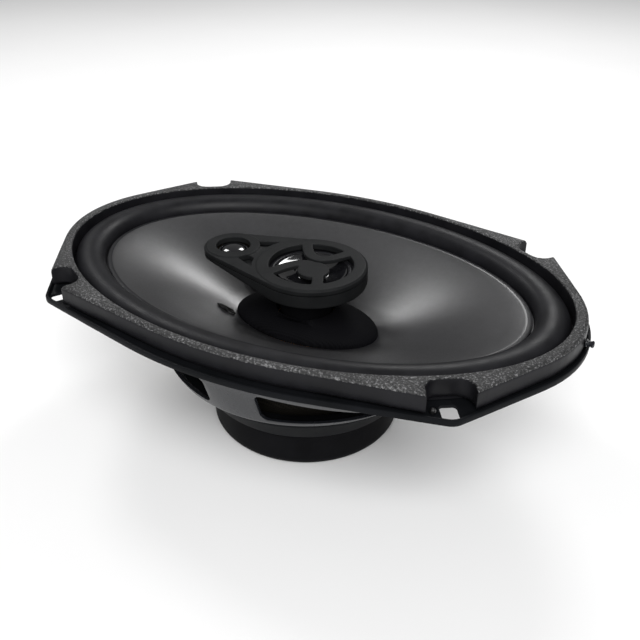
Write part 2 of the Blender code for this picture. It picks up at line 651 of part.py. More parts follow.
def make_gasket(foam):
    angles = rim_angles(RIM_STEPS)
    rim = {"half_x": GASKET_HALF_X, "half_y": GASKET_HALF_Y, "ear": GASKET_EAR}
    rings = [
        rim_ring(angles, 0, GASKET_Z, **rim),
        rim_ring(angles, 0, GASKET_TOP_Z - GASKET_SOFT_EDGE, **rim),
        rim_ring(angles, GASKET_SOFT_EDGE, GASKET_TOP_Z, **rim),
        oval_ring(angles, GASKET_OPEN_X, GASKET_OPEN_Y, GASKET_TOP_Z),
        oval_ring(angles, GASKET_OPEN_X, GASKET_OPEN_Y, GASKET_Z),
    ]
    gasket = add("gasket_ring", ring_solid(rings), foam)
    for number, (x, y, outward) in enumerate(ear_places(), 1):
        length = SCALLOP_FLOOR + 6 * EAR_RADIUS
        size = (length, 2 * SCALLOP_HALF, 3 * (GASKET_TOP_Z - GASKET_Z))
        shape = block(size, (length / 2 - SCALLOP_FLOOR, 0, 0))
        round_edges(shape, (0, 0, 1), SCALLOP_CORNER)
        placed(shape, Matrix.Translation((x, y, GASKET_TOP_Z)) @ Matrix.Rotation(outward, 4, "Z"))
        cut(gasket, add(f"scallop_cutter_{number}", shape, foam, 0))
    return gasket


def make_rim_details(steel):
    """A pin through the rim beside each hole, and a peg on the gasket's end."""
    low = RIM_TOP_Z + GAP
    for number, (x, y, outward) in enumerate(ear_places(), 1):
        side = -1 if x * y > 0 else 1
        sideways = Vector((-math.sin(outward), math.cos(outward))) * side * SCALLOP_HALF * PIN_PLACE
        centre = (x - sideways.x, y - sideways.y)
        add(f"gasket_pin_{number}", disc(PIN_RADIUS, low, low + PIN_HEIGHT, 12, centre, SMALL_BEVEL), steel)
    shape = disc(PEG_RADIUS, 0, PEG_LENGTH, 14, bevel=SMALL_BEVEL)
    start = Vector((GASKET_HALF_X + GAP, 0, GASKET_Z + PEG_RISE))
    placed(shape, Matrix.Translation(start) @ Matrix.Rotation(math.pi / 2, 4, "Y"))
    add("edge_peg", shape, steel)


# Pod


def arc_points(centre, radius, start, stop, steps):
    turns = [start + (stop - start) * step / steps for step in range(steps + 1)]
    return [(centre + radius * math.cos(a), radius * math.sin(a)) for a in turns]


def pod_outline(inset):
    """Two circles and the straight lines that touch both, seen from above."""
    big = BIG_RADIUS - inset
    small = SMALL_RADIUS - inset
    lean = math.pi / 2 + math.asin((BIG_RADIUS - SMALL_RADIUS) / (POD_X - POD_TAIL_X))
    far = arc_points(POD_X, big, lean, -lean, 36)
    near = arc_points(POD_TAIL_X, small, FULL_TURN - lean, lean, 16)
    return far + near


def make_pod_housing(plastic):
    """The lower shell: deep under the large driver, shallow under the small one."""
    high = POD_TOP_Z - COVER_PLATE - GAP
    shape = bmesh.new()
    tail_low = POD_TOP_Z - POD_TAIL_DEPTH
    levels = [(POD_X, BIG_RADIUS, POD_BASE_Z + MM), (POD_X, BIG_RADIUS - MM, POD_BASE_Z)]
    levels += [(POD_X, BIG_RADIUS, high), (POD_TAIL_X, SMALL_RADIUS, high)]
    levels += [(POD_TAIL_X, SMALL_RADIUS, tail_low + MM), (POD_TAIL_X, SMALL_RADIUS - 2 * MM, tail_low)]
    for centre, radius, height in levels:
        for x, y in arc_points(centre, radius, 0, FULL_TURN * 35 / 36, 35):
            shape.verts.new((x, y, height))
    hull = bmesh.ops.convex_hull(shape, input=shape.verts)
    loose = [v for v in hull["geom_interior"] if isinstance(v, bmesh.types.BMVert)]
    bmesh.ops.delete(shape, geom=loose, context="VERTS")
    housing = add("pod_housing", shape, plastic)
    mid_cup = disc(MID_CUP_RADIUS, POD_BASE_Z + SHEET, POD_TOP_Z, 40, (POD_X, 0))
    cut(housing, add("mid_cup_cutter", mid_cup, plastic, 0))
    tweeter_cup = disc(TWEETER_CUP_RADIUS, tail_low + TAIL_FLOOR, POD_TOP_Z, 28, (POD_TAIL_X, 0))
    cut(housing, add("tweeter_cup_cutter", tweeter_cup, plastic, 0))


def ribbon(centre_line, width):
    """An even band along a list of points, as one closed outline."""
    left = []
    right = []
    last = len(centre_line) - 1
    for step, point in enumerate(centre_line):
        before = centre_line[max(step - 1, 0)]
        after = centre_line[min(step + 1, last)]
        along = (Vector(after) - Vector(before)).normalized()
        side = Vector((-along.y, along.x)) * width / 2
        left.append(tuple(Vector(point) + side))
        right.append(tuple(Vector(point) - side))
    return left + right[::-1]


def bar_line(apex, curl, reach, shift):
    """Points on a parabola that opens away from the ring's centre, in shares of the opening's radius."""
    steps = [reach * (step / 8 - 1) for step in range(17)]
    return [(POD_X + BIG_OPENING * (shift + x), BIG_OPENING * (apex + curl * x * x)) for x in steps]


def big_opening(plastic):
    """The large opening's cutter, with the two curved bars and the hub left out of it."""
    top = POD_TOP_Z + RING_RISE
    low = POD_TOP_Z - COVER_PLATE - MM
    opening = add("big_opening", disc(BIG_OPENING, low, top + MM, 40, (POD_X, 0)), plastic, 0)
    upper = ribbon(bar_line(**UPPER_BAR), BAR_WIDTH)
    lower = ribbon(bar_line(**LOWER_BAR), BAR_WIDTH)
    hub_x = POD_X + HUB_PLACE[0] * BIG_OPENING
    hub_y = HUB_PLACE[1] * BIG_OPENING
    rim = arc_points(hub_x, HUB_RADIUS * BIG_OPENING, 0, FULL_TURN * 23 / 24, 23)
    hub = [(x, y + hub_y) for x, y in rim]
    for name, outline in (("upper_bar", upper), ("lower_bar", lower), ("hub_plate", hub)):
        cut(opening, add(name, slab(outline, top - BAR_THICK, top + 2 * MM), plastic, 0))
    return opening


def make_pod_cover(plastic):
    """The top plate: a raised ring round each driver, two pockets, and bars across the large opening."""
    low = POD_TOP_Z - COVER_PLATE
    cover = add("pod_cover", slab(pod_outline(0), low, POD_TOP_Z), plastic)
    top = POD_TOP_Z + RING_RISE
    rings = (
        ("big_ring", (POD_X, 0), BIG_RADIUS - BIG_RING_INSET, 40),
        ("small_ring", (POD_TAIL_X, 0), SMALL_RADIUS - SMALL_RING_INSET, 28),
    )
    for name, centre, radius, steps in rings:
        raised = disc(radius, low + MM / 2, top, steps, centre, RING_RISE / 2)
        cut(cover, add(name, raised, plastic, 0), "UNION")
    for side in (1, -1):
        cut(cover, add(f"pocket_cutter_{side}", pocket(side), plastic, 0))
    cut(cover, big_opening(plastic))
    small_opening = disc(SMALL_OPENING, low - MM, top + MM, 28, (POD_TAIL_X, 0))
    cut(cover, add("small_opening", small_opening, plastic, 0))


def pocket(side):
    """A three-cornered hole between the two rings, on one side of the middle web."""
    small_side = SMALL_RADIUS - POCKET_MARGIN_SMALL
    big_side = BIG_RADIUS + POCKET_MARGIN_BIG
    points = arc_points(POD_TAIL_X, small_side, *map(math.radians, POCKET_TAIL_TURNS), 4)
    points += arc_points(POD_X, big_side, *map(math.radians, POCKET_BIG_TURNS), 5)
    corners = [(x, side * y) for x, y in points]
    return slab(corners, POD_TOP_Z - 2 * COVER_PLATE, POD_TOP_Z + 2 * COVER_PLATE)


def axis_at(name, x, z):
    """An empty on a small driver's own axis, which its pieces hang from."""
    axis = bpy.data.objects.new(name, None)
    axis.location = (x, 0, z)
    bpy.context.scene.collection.objects.link(axis)
    return axis


def make_mid_driver(frame_steel, zinc, film, foam):
    """The pieces under the large opening, built on the driver's own axis."""
    floor = SHEET + GAP
    wall = MID_CUP_RADIUS - GAP
    rest = floor + MID_SEAT
    inside = wall - MID_FRAME_WALL
    plate = floor + MID_FRAME_FLOOR
    hole = MID_YOKE_RADIUS + GAP
    outline = [(wall, rest), (wall, floor), (hole, floor), (hole, plate), (inside, plate), (inside, rest)]
    pieces = [add("mid_frame", turned(outline, 36), frame_steel)]
    dish = floor + MID_YOKE_FLOOR
    brim = floor + MID_YOKE_HEIGHT
    cup = [(0, dish), (MID_YOKE_RADIUS - MID_YOKE_WALL, dish), (MID_YOKE_RADIUS - MID_YOKE_WALL, brim)]
    cup += [(MID_YOKE_RADIUS, brim), (MID_YOKE_RADIUS, floor), (0, floor)]
    pieces.append(add("mid_yoke", turned(cup, 28), zinc))
    low = dish + GAP
    pieces.append(add("mid_magnet", disc(MID_MAGNET_RADIUS, low, low + MID_MAGNET_THICK, 24), zinc))
    low += MID_MAGNET_THICK + GAP
    pieces.append(add("mid_pole_plate", disc(MID_POLE_RADIUS, low, low + MID_POLE_THICK, 24), zinc))
    pieces.append(add("mid_diaphragm", mid_diaphragm(floor, wall), film))
    pieces.append(add("mid_surround", mid_surround(wall, rest + GAP), foam))
    axis = axis_at("mid_axis", POD_X, POD_BASE_Z)
    for piece in pieces:
        piece.parent = axis


def mid_diaphragm(floor, wall):
    """A shallow cone with a domed middle and a short coil tube below, all one piece."""
    edge = floor + MID_EDGE
    rim_radius = wall - MID_EDGE_FROM_WALL
    dome_low = edge - MID_DOME_DROP
    foot = floor + MID_COIL_FOOT
    coil_outer = MID_COIL_RADIUS + MID_COIL_WALL
    over = []
    for turn in (0, 0.5, 1.0, 1.4):
        over.append((MID_DOME_RADIUS * math.sin(turn), dome_low + MID_DOME_RISE * math.cos(turn)))
    under = [(radius, height - FILM) for radius, height in over]
    slope_foot = (coil_outer + MID_ROLL_SHEET, dome_low + SEAT)
    rim = [slope_foot, (rim_radius, edge), (rim_radius, edge - FILM)]
    coil = [(coil_outer, dome_low - 0.5 * MM), (coil_outer, foot), (MID_COIL_RADIUS, foot)]
    coil.append((MID_COIL_RADIUS, dome_low - 0.3 * MM))
    return turned(over + rim + coil + under[::-1], 32)


def mid_surround(wall, base):
    """A small half roll from the diaphragm's edge to the driver's frame."""
    middle = wall - MID_ROLL_FROM_WALL
    inner_roll = MID_ROLL_RADIUS - MID_ROLL_SHEET
    over = []
    under = []
    for step in range(5):
        turn = math.pi * step / 4
        lift = base + MID_ROLL_RISE * math.sin(turn)
        over.append((middle - MID_ROLL_RADIUS * math.cos(turn), lift + MID_ROLL_SHEET))
        under.append((middle - inner_roll * math.cos(turn), lift))
    over.append((wall, base + MID_ROLL_SHEET))
    under.append((wall, base))
    return turned(over + under[::-1], 32)


def make_tweeter(brass, film):
    """A thin element under the small opening, with a domed diaphragm on it."""
    low = TAIL_FLOOR - POD_TAIL_DEPTH + GAP
    high = low + ELEMENT_THICK
    element = disc(TWEETER_CUP_RADIUS - 2 * GAP, low, high, 24)
    base = high + 1.5 * GAP + FILM
    radius = SMALL_OPENING - 1.5 * GAP
    over = []
    for turn in (0, 0.4, 0.8, 1.2, 1.5):
        over.append((radius * math.sin(turn), base + TWEETER_DOME_RISE * math.cos(turn)))
    under = [(max(reach - FILM, 0), height - FILM) for reach, height in over]
    dome = turned(over + under[::-1], 28)
    axis = axis_at("tweeter_axis", POD_TAIL_X, POD_TOP_Z)
    for piece in (add("tweeter_element", element, brass), add("tweeter_diaphragm", dome, film)):
        piece.parent = axis


# Terminals, capacitors and leads


def arm_frame():
    """A frame on the outside of the arm at -X: X across the arm, Y up its slope, Z straight out of it."""
    low = Vector((-WINDOW_LOW_RADIUS - SHEET, 0, WINDOW_LOW_Z - LEDGE))
    high = Vector((-WAIST_HALF_X - SHEET, 0, WINDOW_TOP_Z + LEDGE))
    up = (high - low).normalized()
    across = Vector((0, -1, 0))
    out = across.cross(up)
    matrix = Matrix((across, up, out)).transposed().to_4x4()
    matrix.translation = (low + high) / 2
    return matrix


def make_terminals(board_plastic, brass, steel):
    place = arm_frame()
    low = GAP + SEAT
    board = block((BOARD_WIDTH, BOARD_LENGTH, BOARD_THICK), (0, 0, low + BOARD_THICK / 2))
    round_edges(board, (0, 0, 1), BOARD_CORNER)
    add("terminal_board", placed(board, place), board_plastic)
    level = low + BOARD_THICK + GAP
    spades = (("terminal_wide", 1, WIDE_BLADE), ("terminal_narrow", -1, NARROW_BLADE))
    for name, side, width in spades:
        x = side * BOARD_WIDTH / 4
        middle = (x, -BOARD_LENGTH * BLADE_SHIFT, level + BLADE_THICK / 2)
        blade = block((width, BOARD_LENGTH * BLADE_REACH, BLADE_THICK), middle)
        round_edges(blade, (0, 0, 1), BLADE_THICK, 2)
        add(name, placed(blade, place), brass)
        head = level + BLADE_THICK + GAP
        rivet = disc(TERMINAL_RIVET, head, head + TERMINAL_RIVET_HEAD, 14, (x, 0), SMALL_BEVEL)
        add(name.replace("terminal", "terminal_rivet"), placed(rivet, place), steel)


def make_capacitors(sleeve):
    """Two can capacitors, glued end to end across the outside of the arm, above the terminal board."""
    place = arm_frame()
    up = BOARD_LENGTH / 2 + CAPACITOR_RADIUS
    for number, side in enumerate((1, -1), 1):
        can = disc(CAPACITOR_RADIUS, 0, CAPACITOR_LENGTH, 20, bevel=CAPACITOR_BEVEL)
        turn = Matrix.Rotation(side * math.pi / 2, 4, "Y")
        start = Matrix.Translation((side * CAPACITOR_SPACE / 2, up, GAP + CAPACITOR_RADIUS + SEAT))
        add(f"crossover_capacitor_{number}", placed(can, place @ start @ turn), sleeve)


def slack_line(start, end):
    """A round curve object's data, from one point to the other with an even sag."""
    line = bpy.data.curves.new("lead", "CURVE")
    line.dimensions = "3D"
    line.bevel_depth = LEAD_RADIUS
    line.bevel_resolution = 1
    line.use_fill_caps = True
    path = line.splines.new("POLY")
    steps = 10
    path.points.add(steps)
    for step in range(steps + 1):
        share = step / steps
        point = start.lerp(end, share)
        point.z -= LEAD_SAG * math.sin(math.pi * share)
        path.points[step].co = (*point, 1)
    return line


def make_leads(braid, glue, steel):
    """Two slack leads from eyelets on the arm to the back of the cone, where glue shows on its face."""
    place = arm_frame()
    wall = SHEET * abs(place.col[2].x)
    depth = -wall - 2 * GAP - EYELET_HEIGHT
    low = -BOARD_LENGTH * EYELET_DROP
    for number, side in enumerate((1, -1), 1):
        knob = disc(EYELET_RADIUS, depth, depth + EYELET_HEIGHT, 12, (side * EYELET_SPREAD, low))
        add(f"lead_eyelet_{number}", placed(knob, place), steel)
        eyelet = place @ Vector((side * EYELET_SPREAD, low, depth))
        end = eyelet + Vector((1.5 * EYELET_RADIUS, 0, EYELET_RADIUS))
        y = -side * GLUE_SPREAD
        below = 1.25 * CONE_SHEET + LEAD_RADIUS + 6 * GAP
        start = Vector((-GLUE_X, y, face_z(GLUE_X, y) - below))
        line = slack_line(start, end)
        line.materials.append(braid)
        lead = bpy.data.objects.new(f"tinsel_lead_{number}", line)
        bpy.context.scene.collection.objects.link(lead)
        add(f"lead_glue_{number}", glue_blob(y), glue)


def glue_blob(y):
    """A low lens of glue lying on the cone's slope and running outwards."""
    inner = CONE_EDGE_HALF_X - CONE_LAND
    slope = math.atan2(CONE_EDGE_Z - SKIRT_Z, inner - SKIRT_HALF_X)
    shape = bmesh.new()
    bmesh.ops.create_uvsphere(shape, u_segments=14, v_segments=8, radius=1)
    bmesh.ops.bisect_plane(
        shape,
        geom=shape.verts[:] + shape.edges[:] + shape.faces[:],
        plane_co=(0, 0, 0.1),
        plane_no=(0, 0, -1),
        clear_outer=True,
    )
    bmesh.ops.contextual_create(shape, geom=[e for e in shape.edges if e.is_boundary])
    size = Matrix.Diagonal((GLUE_LENGTH / 2, GLUE_WIDTH / 2, GLUE_HEIGHT, 1))
    height = face_z(GLUE_X, y) + 2.2 * GAP
    tilt = Matrix.Rotation(slope, 4, "Y")
    return placed(shape, Matrix.Translation((-GLUE_X, y, height)) @ tilt @ size)


def face_z(x, y):
    """Height of the cone's face at a point between the skirt and the edge."""
    inner_x = CONE_EDGE_HALF_X - CONE_LAND
    inner_y = CONE_EDGE_HALF_Y - CONE_LAND
    angle = math.atan2(abs(y), abs(x))
    low = oval_reach(angle, SKIRT_HALF_X, SKIRT_HALF_Y)
    high = oval_reach(angle, inner_x, inner_y)
    share = (math.hypot(x, y) - low) / (high - low)
    return SKIRT_Z + share * (CONE_EDGE_Z - SKIRT_Z)


def main():
    for old in list(bpy.data.objects):
        bpy.data.objects.remove(old, do_unlink=True)
    black_steel = finish("black_steel", (0.016, 0.017, 0.021), 0.28)
    zinc = finish("zinc_steel", (0.55, 0.55, 0.53), 0.35, 1.0)
    ferrite = finish("ferrite", (0.05, 0.05, 0.055), 0.6)
    rubber = finish("cover_rubber", (0.03, 0.031, 0.033), 0.6)
    paper = finish("mica_cone", (0.025, 0.025, 0.027), 0.35)
    butyl = finish("butyl", (0.02, 0.02, 0.022), 0.45)
    foam = finish("gasket_grain", (0.05, 0.05, 0.052), 0.6)
    cloth = finish("spider_cloth", (0.02, 0.018, 0.014), 0.9)
    felt = finish("skirt_cloth", (0.018, 0.018, 0.02), 0.7)
    pod = finish("pod_plastic", (0.016, 0.0165, 0.017), 0.5)
    film = finish("black_film", (0.01, 0.01, 0.011), 0.12)
    kapton = finish("kapton", (0.35, 0.15, 0.03), 0.3)
    copper = finish("copper_wire", (0.6, 0.24, 0.1), 0.35, 1.0)
    brass = finish("brass", (0.62, 0.46, 0.2), 0.3, 1.0)
    braid = finish("lead_braid", (0.6, 0.35, 0.2), 0.4, 0.8)
    board = finish("terminal_board", (0.12, 0.1, 0.07), 0.6)
    sleeve = finish("capacitor_sleeve", (0.03, 0.05, 0.12), 0.4)

    make_basket(black_steel)
    make_magnet_cover(rubber)
    make_motor(zinc, ferrite, zinc)
    make_post(pod, zinc)
    make_coil(kapton, copper)
    make_cone(paper)
    make_dust_skirt(felt)
    make_surround(butyl)
    make_spider(cloth)
    make_gasket(foam)
    make_rim_details(zinc)
    make_pod_housing(pod)
    make_pod_cover(pod)
    make_mid_driver(black_steel, zinc, film, butyl)
    make_tweeter(brass, film)
    make_terminals(board, brass, zinc)
    make_capacitors(sleeve)
    make_leads(braid, felt, zinc)


main()
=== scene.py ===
import math

import bmesh
import bpy
from mathutils import Matrix, Vector
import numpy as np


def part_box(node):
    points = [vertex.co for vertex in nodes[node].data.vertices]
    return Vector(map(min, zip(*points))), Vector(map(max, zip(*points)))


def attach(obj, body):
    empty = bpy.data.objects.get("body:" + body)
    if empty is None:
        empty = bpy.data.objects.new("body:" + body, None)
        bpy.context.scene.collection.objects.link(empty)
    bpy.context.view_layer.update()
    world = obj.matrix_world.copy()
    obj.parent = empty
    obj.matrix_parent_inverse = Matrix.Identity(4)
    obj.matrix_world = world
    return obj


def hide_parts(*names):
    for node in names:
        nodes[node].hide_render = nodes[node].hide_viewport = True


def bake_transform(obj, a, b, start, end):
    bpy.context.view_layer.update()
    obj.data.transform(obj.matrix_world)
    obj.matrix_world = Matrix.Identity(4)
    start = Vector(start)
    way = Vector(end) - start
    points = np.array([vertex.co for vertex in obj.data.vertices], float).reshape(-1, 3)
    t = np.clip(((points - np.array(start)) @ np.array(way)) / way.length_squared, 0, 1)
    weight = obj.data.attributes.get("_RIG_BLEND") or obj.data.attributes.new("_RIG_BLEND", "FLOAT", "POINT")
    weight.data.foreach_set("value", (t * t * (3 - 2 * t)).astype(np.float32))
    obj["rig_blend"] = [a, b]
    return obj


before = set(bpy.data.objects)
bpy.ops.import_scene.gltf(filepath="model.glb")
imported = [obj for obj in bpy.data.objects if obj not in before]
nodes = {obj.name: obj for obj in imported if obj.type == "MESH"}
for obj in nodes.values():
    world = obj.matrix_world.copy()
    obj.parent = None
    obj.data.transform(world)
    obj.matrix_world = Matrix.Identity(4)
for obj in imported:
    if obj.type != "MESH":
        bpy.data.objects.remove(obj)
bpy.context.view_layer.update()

mm = 0.001
turn = 2 * math.pi


# Camera, lights and floor

camera = {"azimuth": 27.5, "elevation": 29.03, "distance": 0.34995, "aimHeight": 0.0657, "lens": 46.66,
          "shiftX": 0.0217, "shiftY": -0.0609}


def placeCamera():
    azimuth, elevation = math.radians(camera["azimuth"]), math.radians(camera["elevation"])
    back = Vector((math.sin(azimuth) * math.cos(elevation), -math.cos(azimuth) * math.cos(elevation),
                   math.sin(elevation)))
    lens = bpy.data.cameras.new("camera")
    lens.lens = camera["lens"]
    lens.sensor_width = 36
    lens.shift_x, lens.shift_y = camera["shiftX"], camera["shiftY"]
    lens.clip_start, lens.clip_end = 0.01, 20
    item = bpy.data.objects.new("camera", lens)
    item.location = Vector((0, 0, camera["aimHeight"])) + back * camera["distance"]
    item.rotation_mode = "QUATERNION"
    item.rotation_quaternion = (-back).to_track_quat("-Z", "Y")
    bpy.context.scene.collection.objects.link(item)
    bpy.context.scene.camera = item


studio = {"world": 0.20, "floorSize": 6.0, "contrast": "Standard"}

lamps = {
    # name: (place, size x, size y, watts)
    "frontBox": ((0.60, -1.10, 1.25), 1.3, 1.3, 37.0),
    "backLamp": ((-0.10, 0.78, 0.72), 0.30, 0.26, 3.1),
    "leftLamp": ((-0.66, 0.33, 0.78), 0.26, 0.26, 2.3),
}


def placeLights():
    world = bpy.data.worlds.new("studio")
    world.use_nodes = True
    world.node_tree.nodes["Background"].inputs["Color"].default_value = (1, 1, 1, 1)
    world.node_tree.nodes["Background"].inputs["Strength"].default_value = studio["world"]
    bpy.context.scene.world = world
    bpy.context.scene.view_settings.view_transform = studio["contrast"]
    for name, (place, sizeX, sizeY, watts) in lamps.items():
        lamp = bpy.data.lights.new(name, "AREA")
        lamp.shape = "RECTANGLE"
        lamp.size, lamp.size_y, lamp.energy = sizeX, sizeY, watts
        item = bpy.data.objects.new(name, lamp)
        item.location = place
        item.rotation_mode = "QUATERNION"
        item.rotation_quaternion = (Vector((0, 0, 0.05)) - Vector(place)).to_track_quat("-Z", "Y")
        bpy.context.scene.collection.objects.link(item)


def placeFloor(material):
    bm = bmesh.new()
    bmesh.ops.create_grid(bm, x_segments=1, y_segments=1, size=studio["floorSize"] / 2)
    bmesh.ops.translate(bm, verts=bm.verts, vec=(0, 0, -0.0002))
    finished("floor", bm, [material], smooth=0)


# Shared mesh helpers

def finished(name, bm, materials, smooth=35):
    mesh = bpy.data.meshes.new(name)
    bm.to_mesh(mesh)
    bm.free()
    for material in materials:
        mesh.materials.append(material)
    if smooth:
        mesh.shade_smooth()
        mesh.set_sharp_from_angle(angle=math.radians(smooth))
    item = bpy.data.objects.new(name, mesh)
    bpy.context.scene.collection.objects.link(item)
    return item


def standIn(item, node, body="frame"):
    # the piece shows in place of the CAD node of that name
    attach(item, body)
    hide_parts(node)
    return item


def bendBetween(item, node, child, weightOf):
    # frame at weight 0, the moving body at weight 1
    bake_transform(item, "frame", child, start=(0, 0, 0), end=(0, 0, 1))
    attribute = item.data.attributes["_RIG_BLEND"]
    for vert, value in zip(item.data.vertices, attribute.data):
        value.value = weightOf(vert.co)
    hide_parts(node)
    return item


def ease(value):
    value = min(max(value, 0), 1)
    return value * value * (3 - 2 * value)


def polar(angle, reach, z):
    return Vector((reach * math.cos(angle), reach * math.sin(angle), z))


def angleOf(point):
    return math.atan2(point.y, point.x) % turn


def ovalReach(angle, halfX, halfY, power=2.0):
    across = (abs(math.cos(angle)) / halfX) ** power + (abs(math.sin(angle)) / halfY) ** power
    return across ** (-1 / power)


def oval(halfX, halfY, z, power=2.0):
    return lambda angle: polar(angle, ovalReach(angle, halfX, halfY, power), z)


def circle(radius, z):
    return lambda angle: polar(angle, radius, z)


rimSweep = {"steps": 120, "degrees": 0.5, "furthest": 1.0, "count": 168, "fine": 12, "spread": 0.14,
            "clear": 1.03}
rimCache = {}


def rimReach(angle, halfX, halfY, ear):
    # a line drawn tight round an oval and the four ears
    key = (round(angle, 5), round(halfX, 6), round(halfY, 6), round(ear, 6))
    if key not in rimCache:
        nearest, steps = rimSweep["furthest"], rimSweep["steps"]
        for step in range(-steps, steps + 1):
            lean = math.radians(step * rimSweep["degrees"])
            normal = angle + lean
            cos, sin = abs(math.cos(normal)), abs(math.sin(normal))
            ears = rim["holeX"] * cos + rim["holeY"] * sin + ear
            nearest = min(nearest, max(math.hypot(halfX * cos, halfY * sin), ears) / math.cos(lean))
        rimCache[key] = nearest
    return rimCache[key]


def rimLine(inset, z, halfX=None, halfY=None, ear=None):
    wide, deep = halfX or rim["halfX"], halfY or rim["halfY"]
    corner = ear or rim["ear"]
    return lambda angle: polar(angle, rimReach(angle, wide - inset, deep - inset, corner - inset), z)


def rimAngles():
    # closer together across each ear
    fine, spread = rimSweep["fine"], rimSweep["spread"]
    ear = math.atan2(rim["holeY"], rim["holeX"])
    centres = (ear, turn / 2 - ear, turn / 2 + ear, turn - ear)
    angles = [centre + spread * step / fine for centre in centres for step in range(-fine, fine + 1)]
    for angle in evenAngles(rimSweep["count"]):
        if all(abs(angle - centre) > spread * rimSweep["clear"] for centre in centres):
            angles.append(angle)
    return sorted(angles)


def evenAngles(count):
    return [turn * step / count for step in range(count)]


def loft(sections, angles):
    # rings extruded from section to section and closed back onto the first
    bm = bmesh.new()
    verts = bmesh.ops.create_circle(bm, segments=len(angles), radius=1)["verts"]
    for vert, angle in zip(verts, angles):
        vert.co = sections[0](angle)
    edges = list({edge for vert in verts for edge in vert.link_edges})
    for section in sections[1:] + sections[:1]:
        made = bmesh.ops.extrude_edge_only(bm, edges=edges)["geom"]
        verts = [part for part in made if isinstance(part, bmesh.types.BMVert)]
        here = set(verts)
        rings = [part for part in made if isinstance(part, bmesh.types.BMEdge)]
        edges = [edge for edge in rings if set(edge.verts) <= here]
        for vert in verts:
            vert.co = section(angleOf(vert.co))
    bmesh.ops.remove_doubles(bm, verts=bm.verts, dist=1e-6)
    bmesh.ops.recalc_face_normals(bm, faces=bm.faces)
    return bm


def spun(profile, steps=96, centre=(0, 0)):
    # (radius, height) points in millimetres turned about a vertical axis
    bm = bmesh.new()
    verts = [bm.verts.new((radius * mm, 0, height * mm)) for radius, height in profile]
    edges = [bm.edges.new(pair) for pair in zip(verts, verts[1:])]
    if profile[0][0] > 0:
        edges.append(bm.edges.new((verts[-1], verts[0])))
    bmesh.ops.spin(bm, geom=verts + edges, cent=(0, 0, 0), axis=(0, 0, 1), angle=turn, steps=steps,
                   use_merge=True)
    bmesh.ops.remove_doubles(bm, verts=bm.verts, dist=1e-7)
    bmesh.ops.recalc_face_normals(bm, faces=bm.faces)
    bmesh.ops.translate(bm, verts=bm.verts, vec=(centre[0] * mm, centre[1] * mm, 0))
    return bm


def arc(centre, radius, start, stop, steps):
    # points in degrees round a centre, for a profile
    spread = [math.radians(start + (stop - start) * step / steps) for step in range(steps + 1)]
    return [(centre[0] + radius * math.cos(a), centre[1] + radius * math.sin(a)) for a in spread]


def plate(points, low, high):
    # an outline in millimetres raised from low to high
    bm = bmesh.new()
    face = bm.faces.new([bm.verts.new((x * mm, y * mm, low * mm)) for x, y in points])
    made = bmesh.ops.extrude_face_region(bm, geom=[face])["geom"]
    verts = [part for part in made if isinstance(part, bmesh.types.BMVert)]
    bmesh.ops.translate(bm, verts=verts, vec=(0, 0, (high - low) * mm))
    bmesh.ops.recalc_face_normals(bm, faces=bm.faces)
    return bm


def box(size, centre=(0, 0, 0)):
    bm = bmesh.new()
    bmesh.ops.create_cube(bm, size=1, matrix=Matrix.Translation(centre) @ Matrix.Diagonal((*size, 1)))
    return bm


def bevel(bm, edges, radius, segments):
    bmesh.ops.bevel(bm, geom=edges, offset=radius, offset_type="OFFSET", affect="EDGES", segments=segments,
                    profile=0.5, material=-1)
    return bm


def bevelAlong(bm, direction, radius):
    along = Vector(direction)
    edges = [e for e in bm.edges if abs((e.verts[0].co - e.verts[1].co).normalized().dot(along)) > 0.99]
    return bevel(bm, edges, radius, 6)


def moved(bm, matrix):
    bmesh.ops.transform(bm, matrix=matrix, verts=bm.verts)
    return bm


def combine(item, cutters, operation="DIFFERENCE"):
    # each cutter is used up
    for cutter in cutters:
        change = item.modifiers.new("cut", "BOOLEAN")
        change.operation, change.solver, change.object = operation, "EXACT", cutter
        bake(item)
        bpy.data.objects.remove(cutter, do_unlink=True)
    return item


def bake(item):
    graph = bpy.context.evaluated_depsgraph_get()
    mesh = bpy.data.meshes.new_from_object(item.evaluated_get(graph))
    old = item.data
    item.modifiers.clear()
    item.data = mesh
    bpy.data.meshes.remove(old)


def soften(item, voxel, passes, materials):
    # a moulded piece's even, slightly rounded edges
    remesh = item.modifiers.new("remesh", "REMESH")
    remesh.mode, remesh.voxel_size = "VOXEL", voxel * mm
    smooth = item.modifiers.new("smooth", "SMOOTH")
    smooth.factor, smooth.iterations = 0.5, passes
    bake(item)
    item.data.materials.clear()
    for material in materials:
        item.data.materials.append(material)
    item.data.shade_smooth()
    return item


# Materials

def newMaterial(name, colour, roughness, metallic=0.0):
    material = bpy.data.materials.new(name)
    material.use_nodes = True
    shader = material.node_tree.nodes["Principled BSDF"]
    shader.inputs["Base Color"].default_value = (*colour, 1)
    shader.inputs["Roughness"].default_value = roughness
    shader.inputs["Metallic"].default_value = metallic
    return material, material.node_tree, shader


def objectCoords(tree, stretch=(1, 1, 1)):
    coords = tree.nodes.new("ShaderNodeTexCoord")
    mapping = tree.nodes.new("ShaderNodeMapping")
    mapping.inputs["Scale"].default_value = stretch
    tree.links.new(coords.outputs["Object"], mapping.inputs["Vector"])
    return mapping.outputs["Vector"]


def noise(tree, coords, scale, detail=4.0, rough=0.55):
    # scale in features per metre
    made = tree.nodes.new("ShaderNodeTexNoise")
    made.inputs["Scale"].default_value = scale
    made.inputs["Detail"].default_value = detail
    made.inputs["Roughness"].default_value = rough
    tree.links.new(coords, made.inputs["Vector"])
    return made.outputs["Fac"]


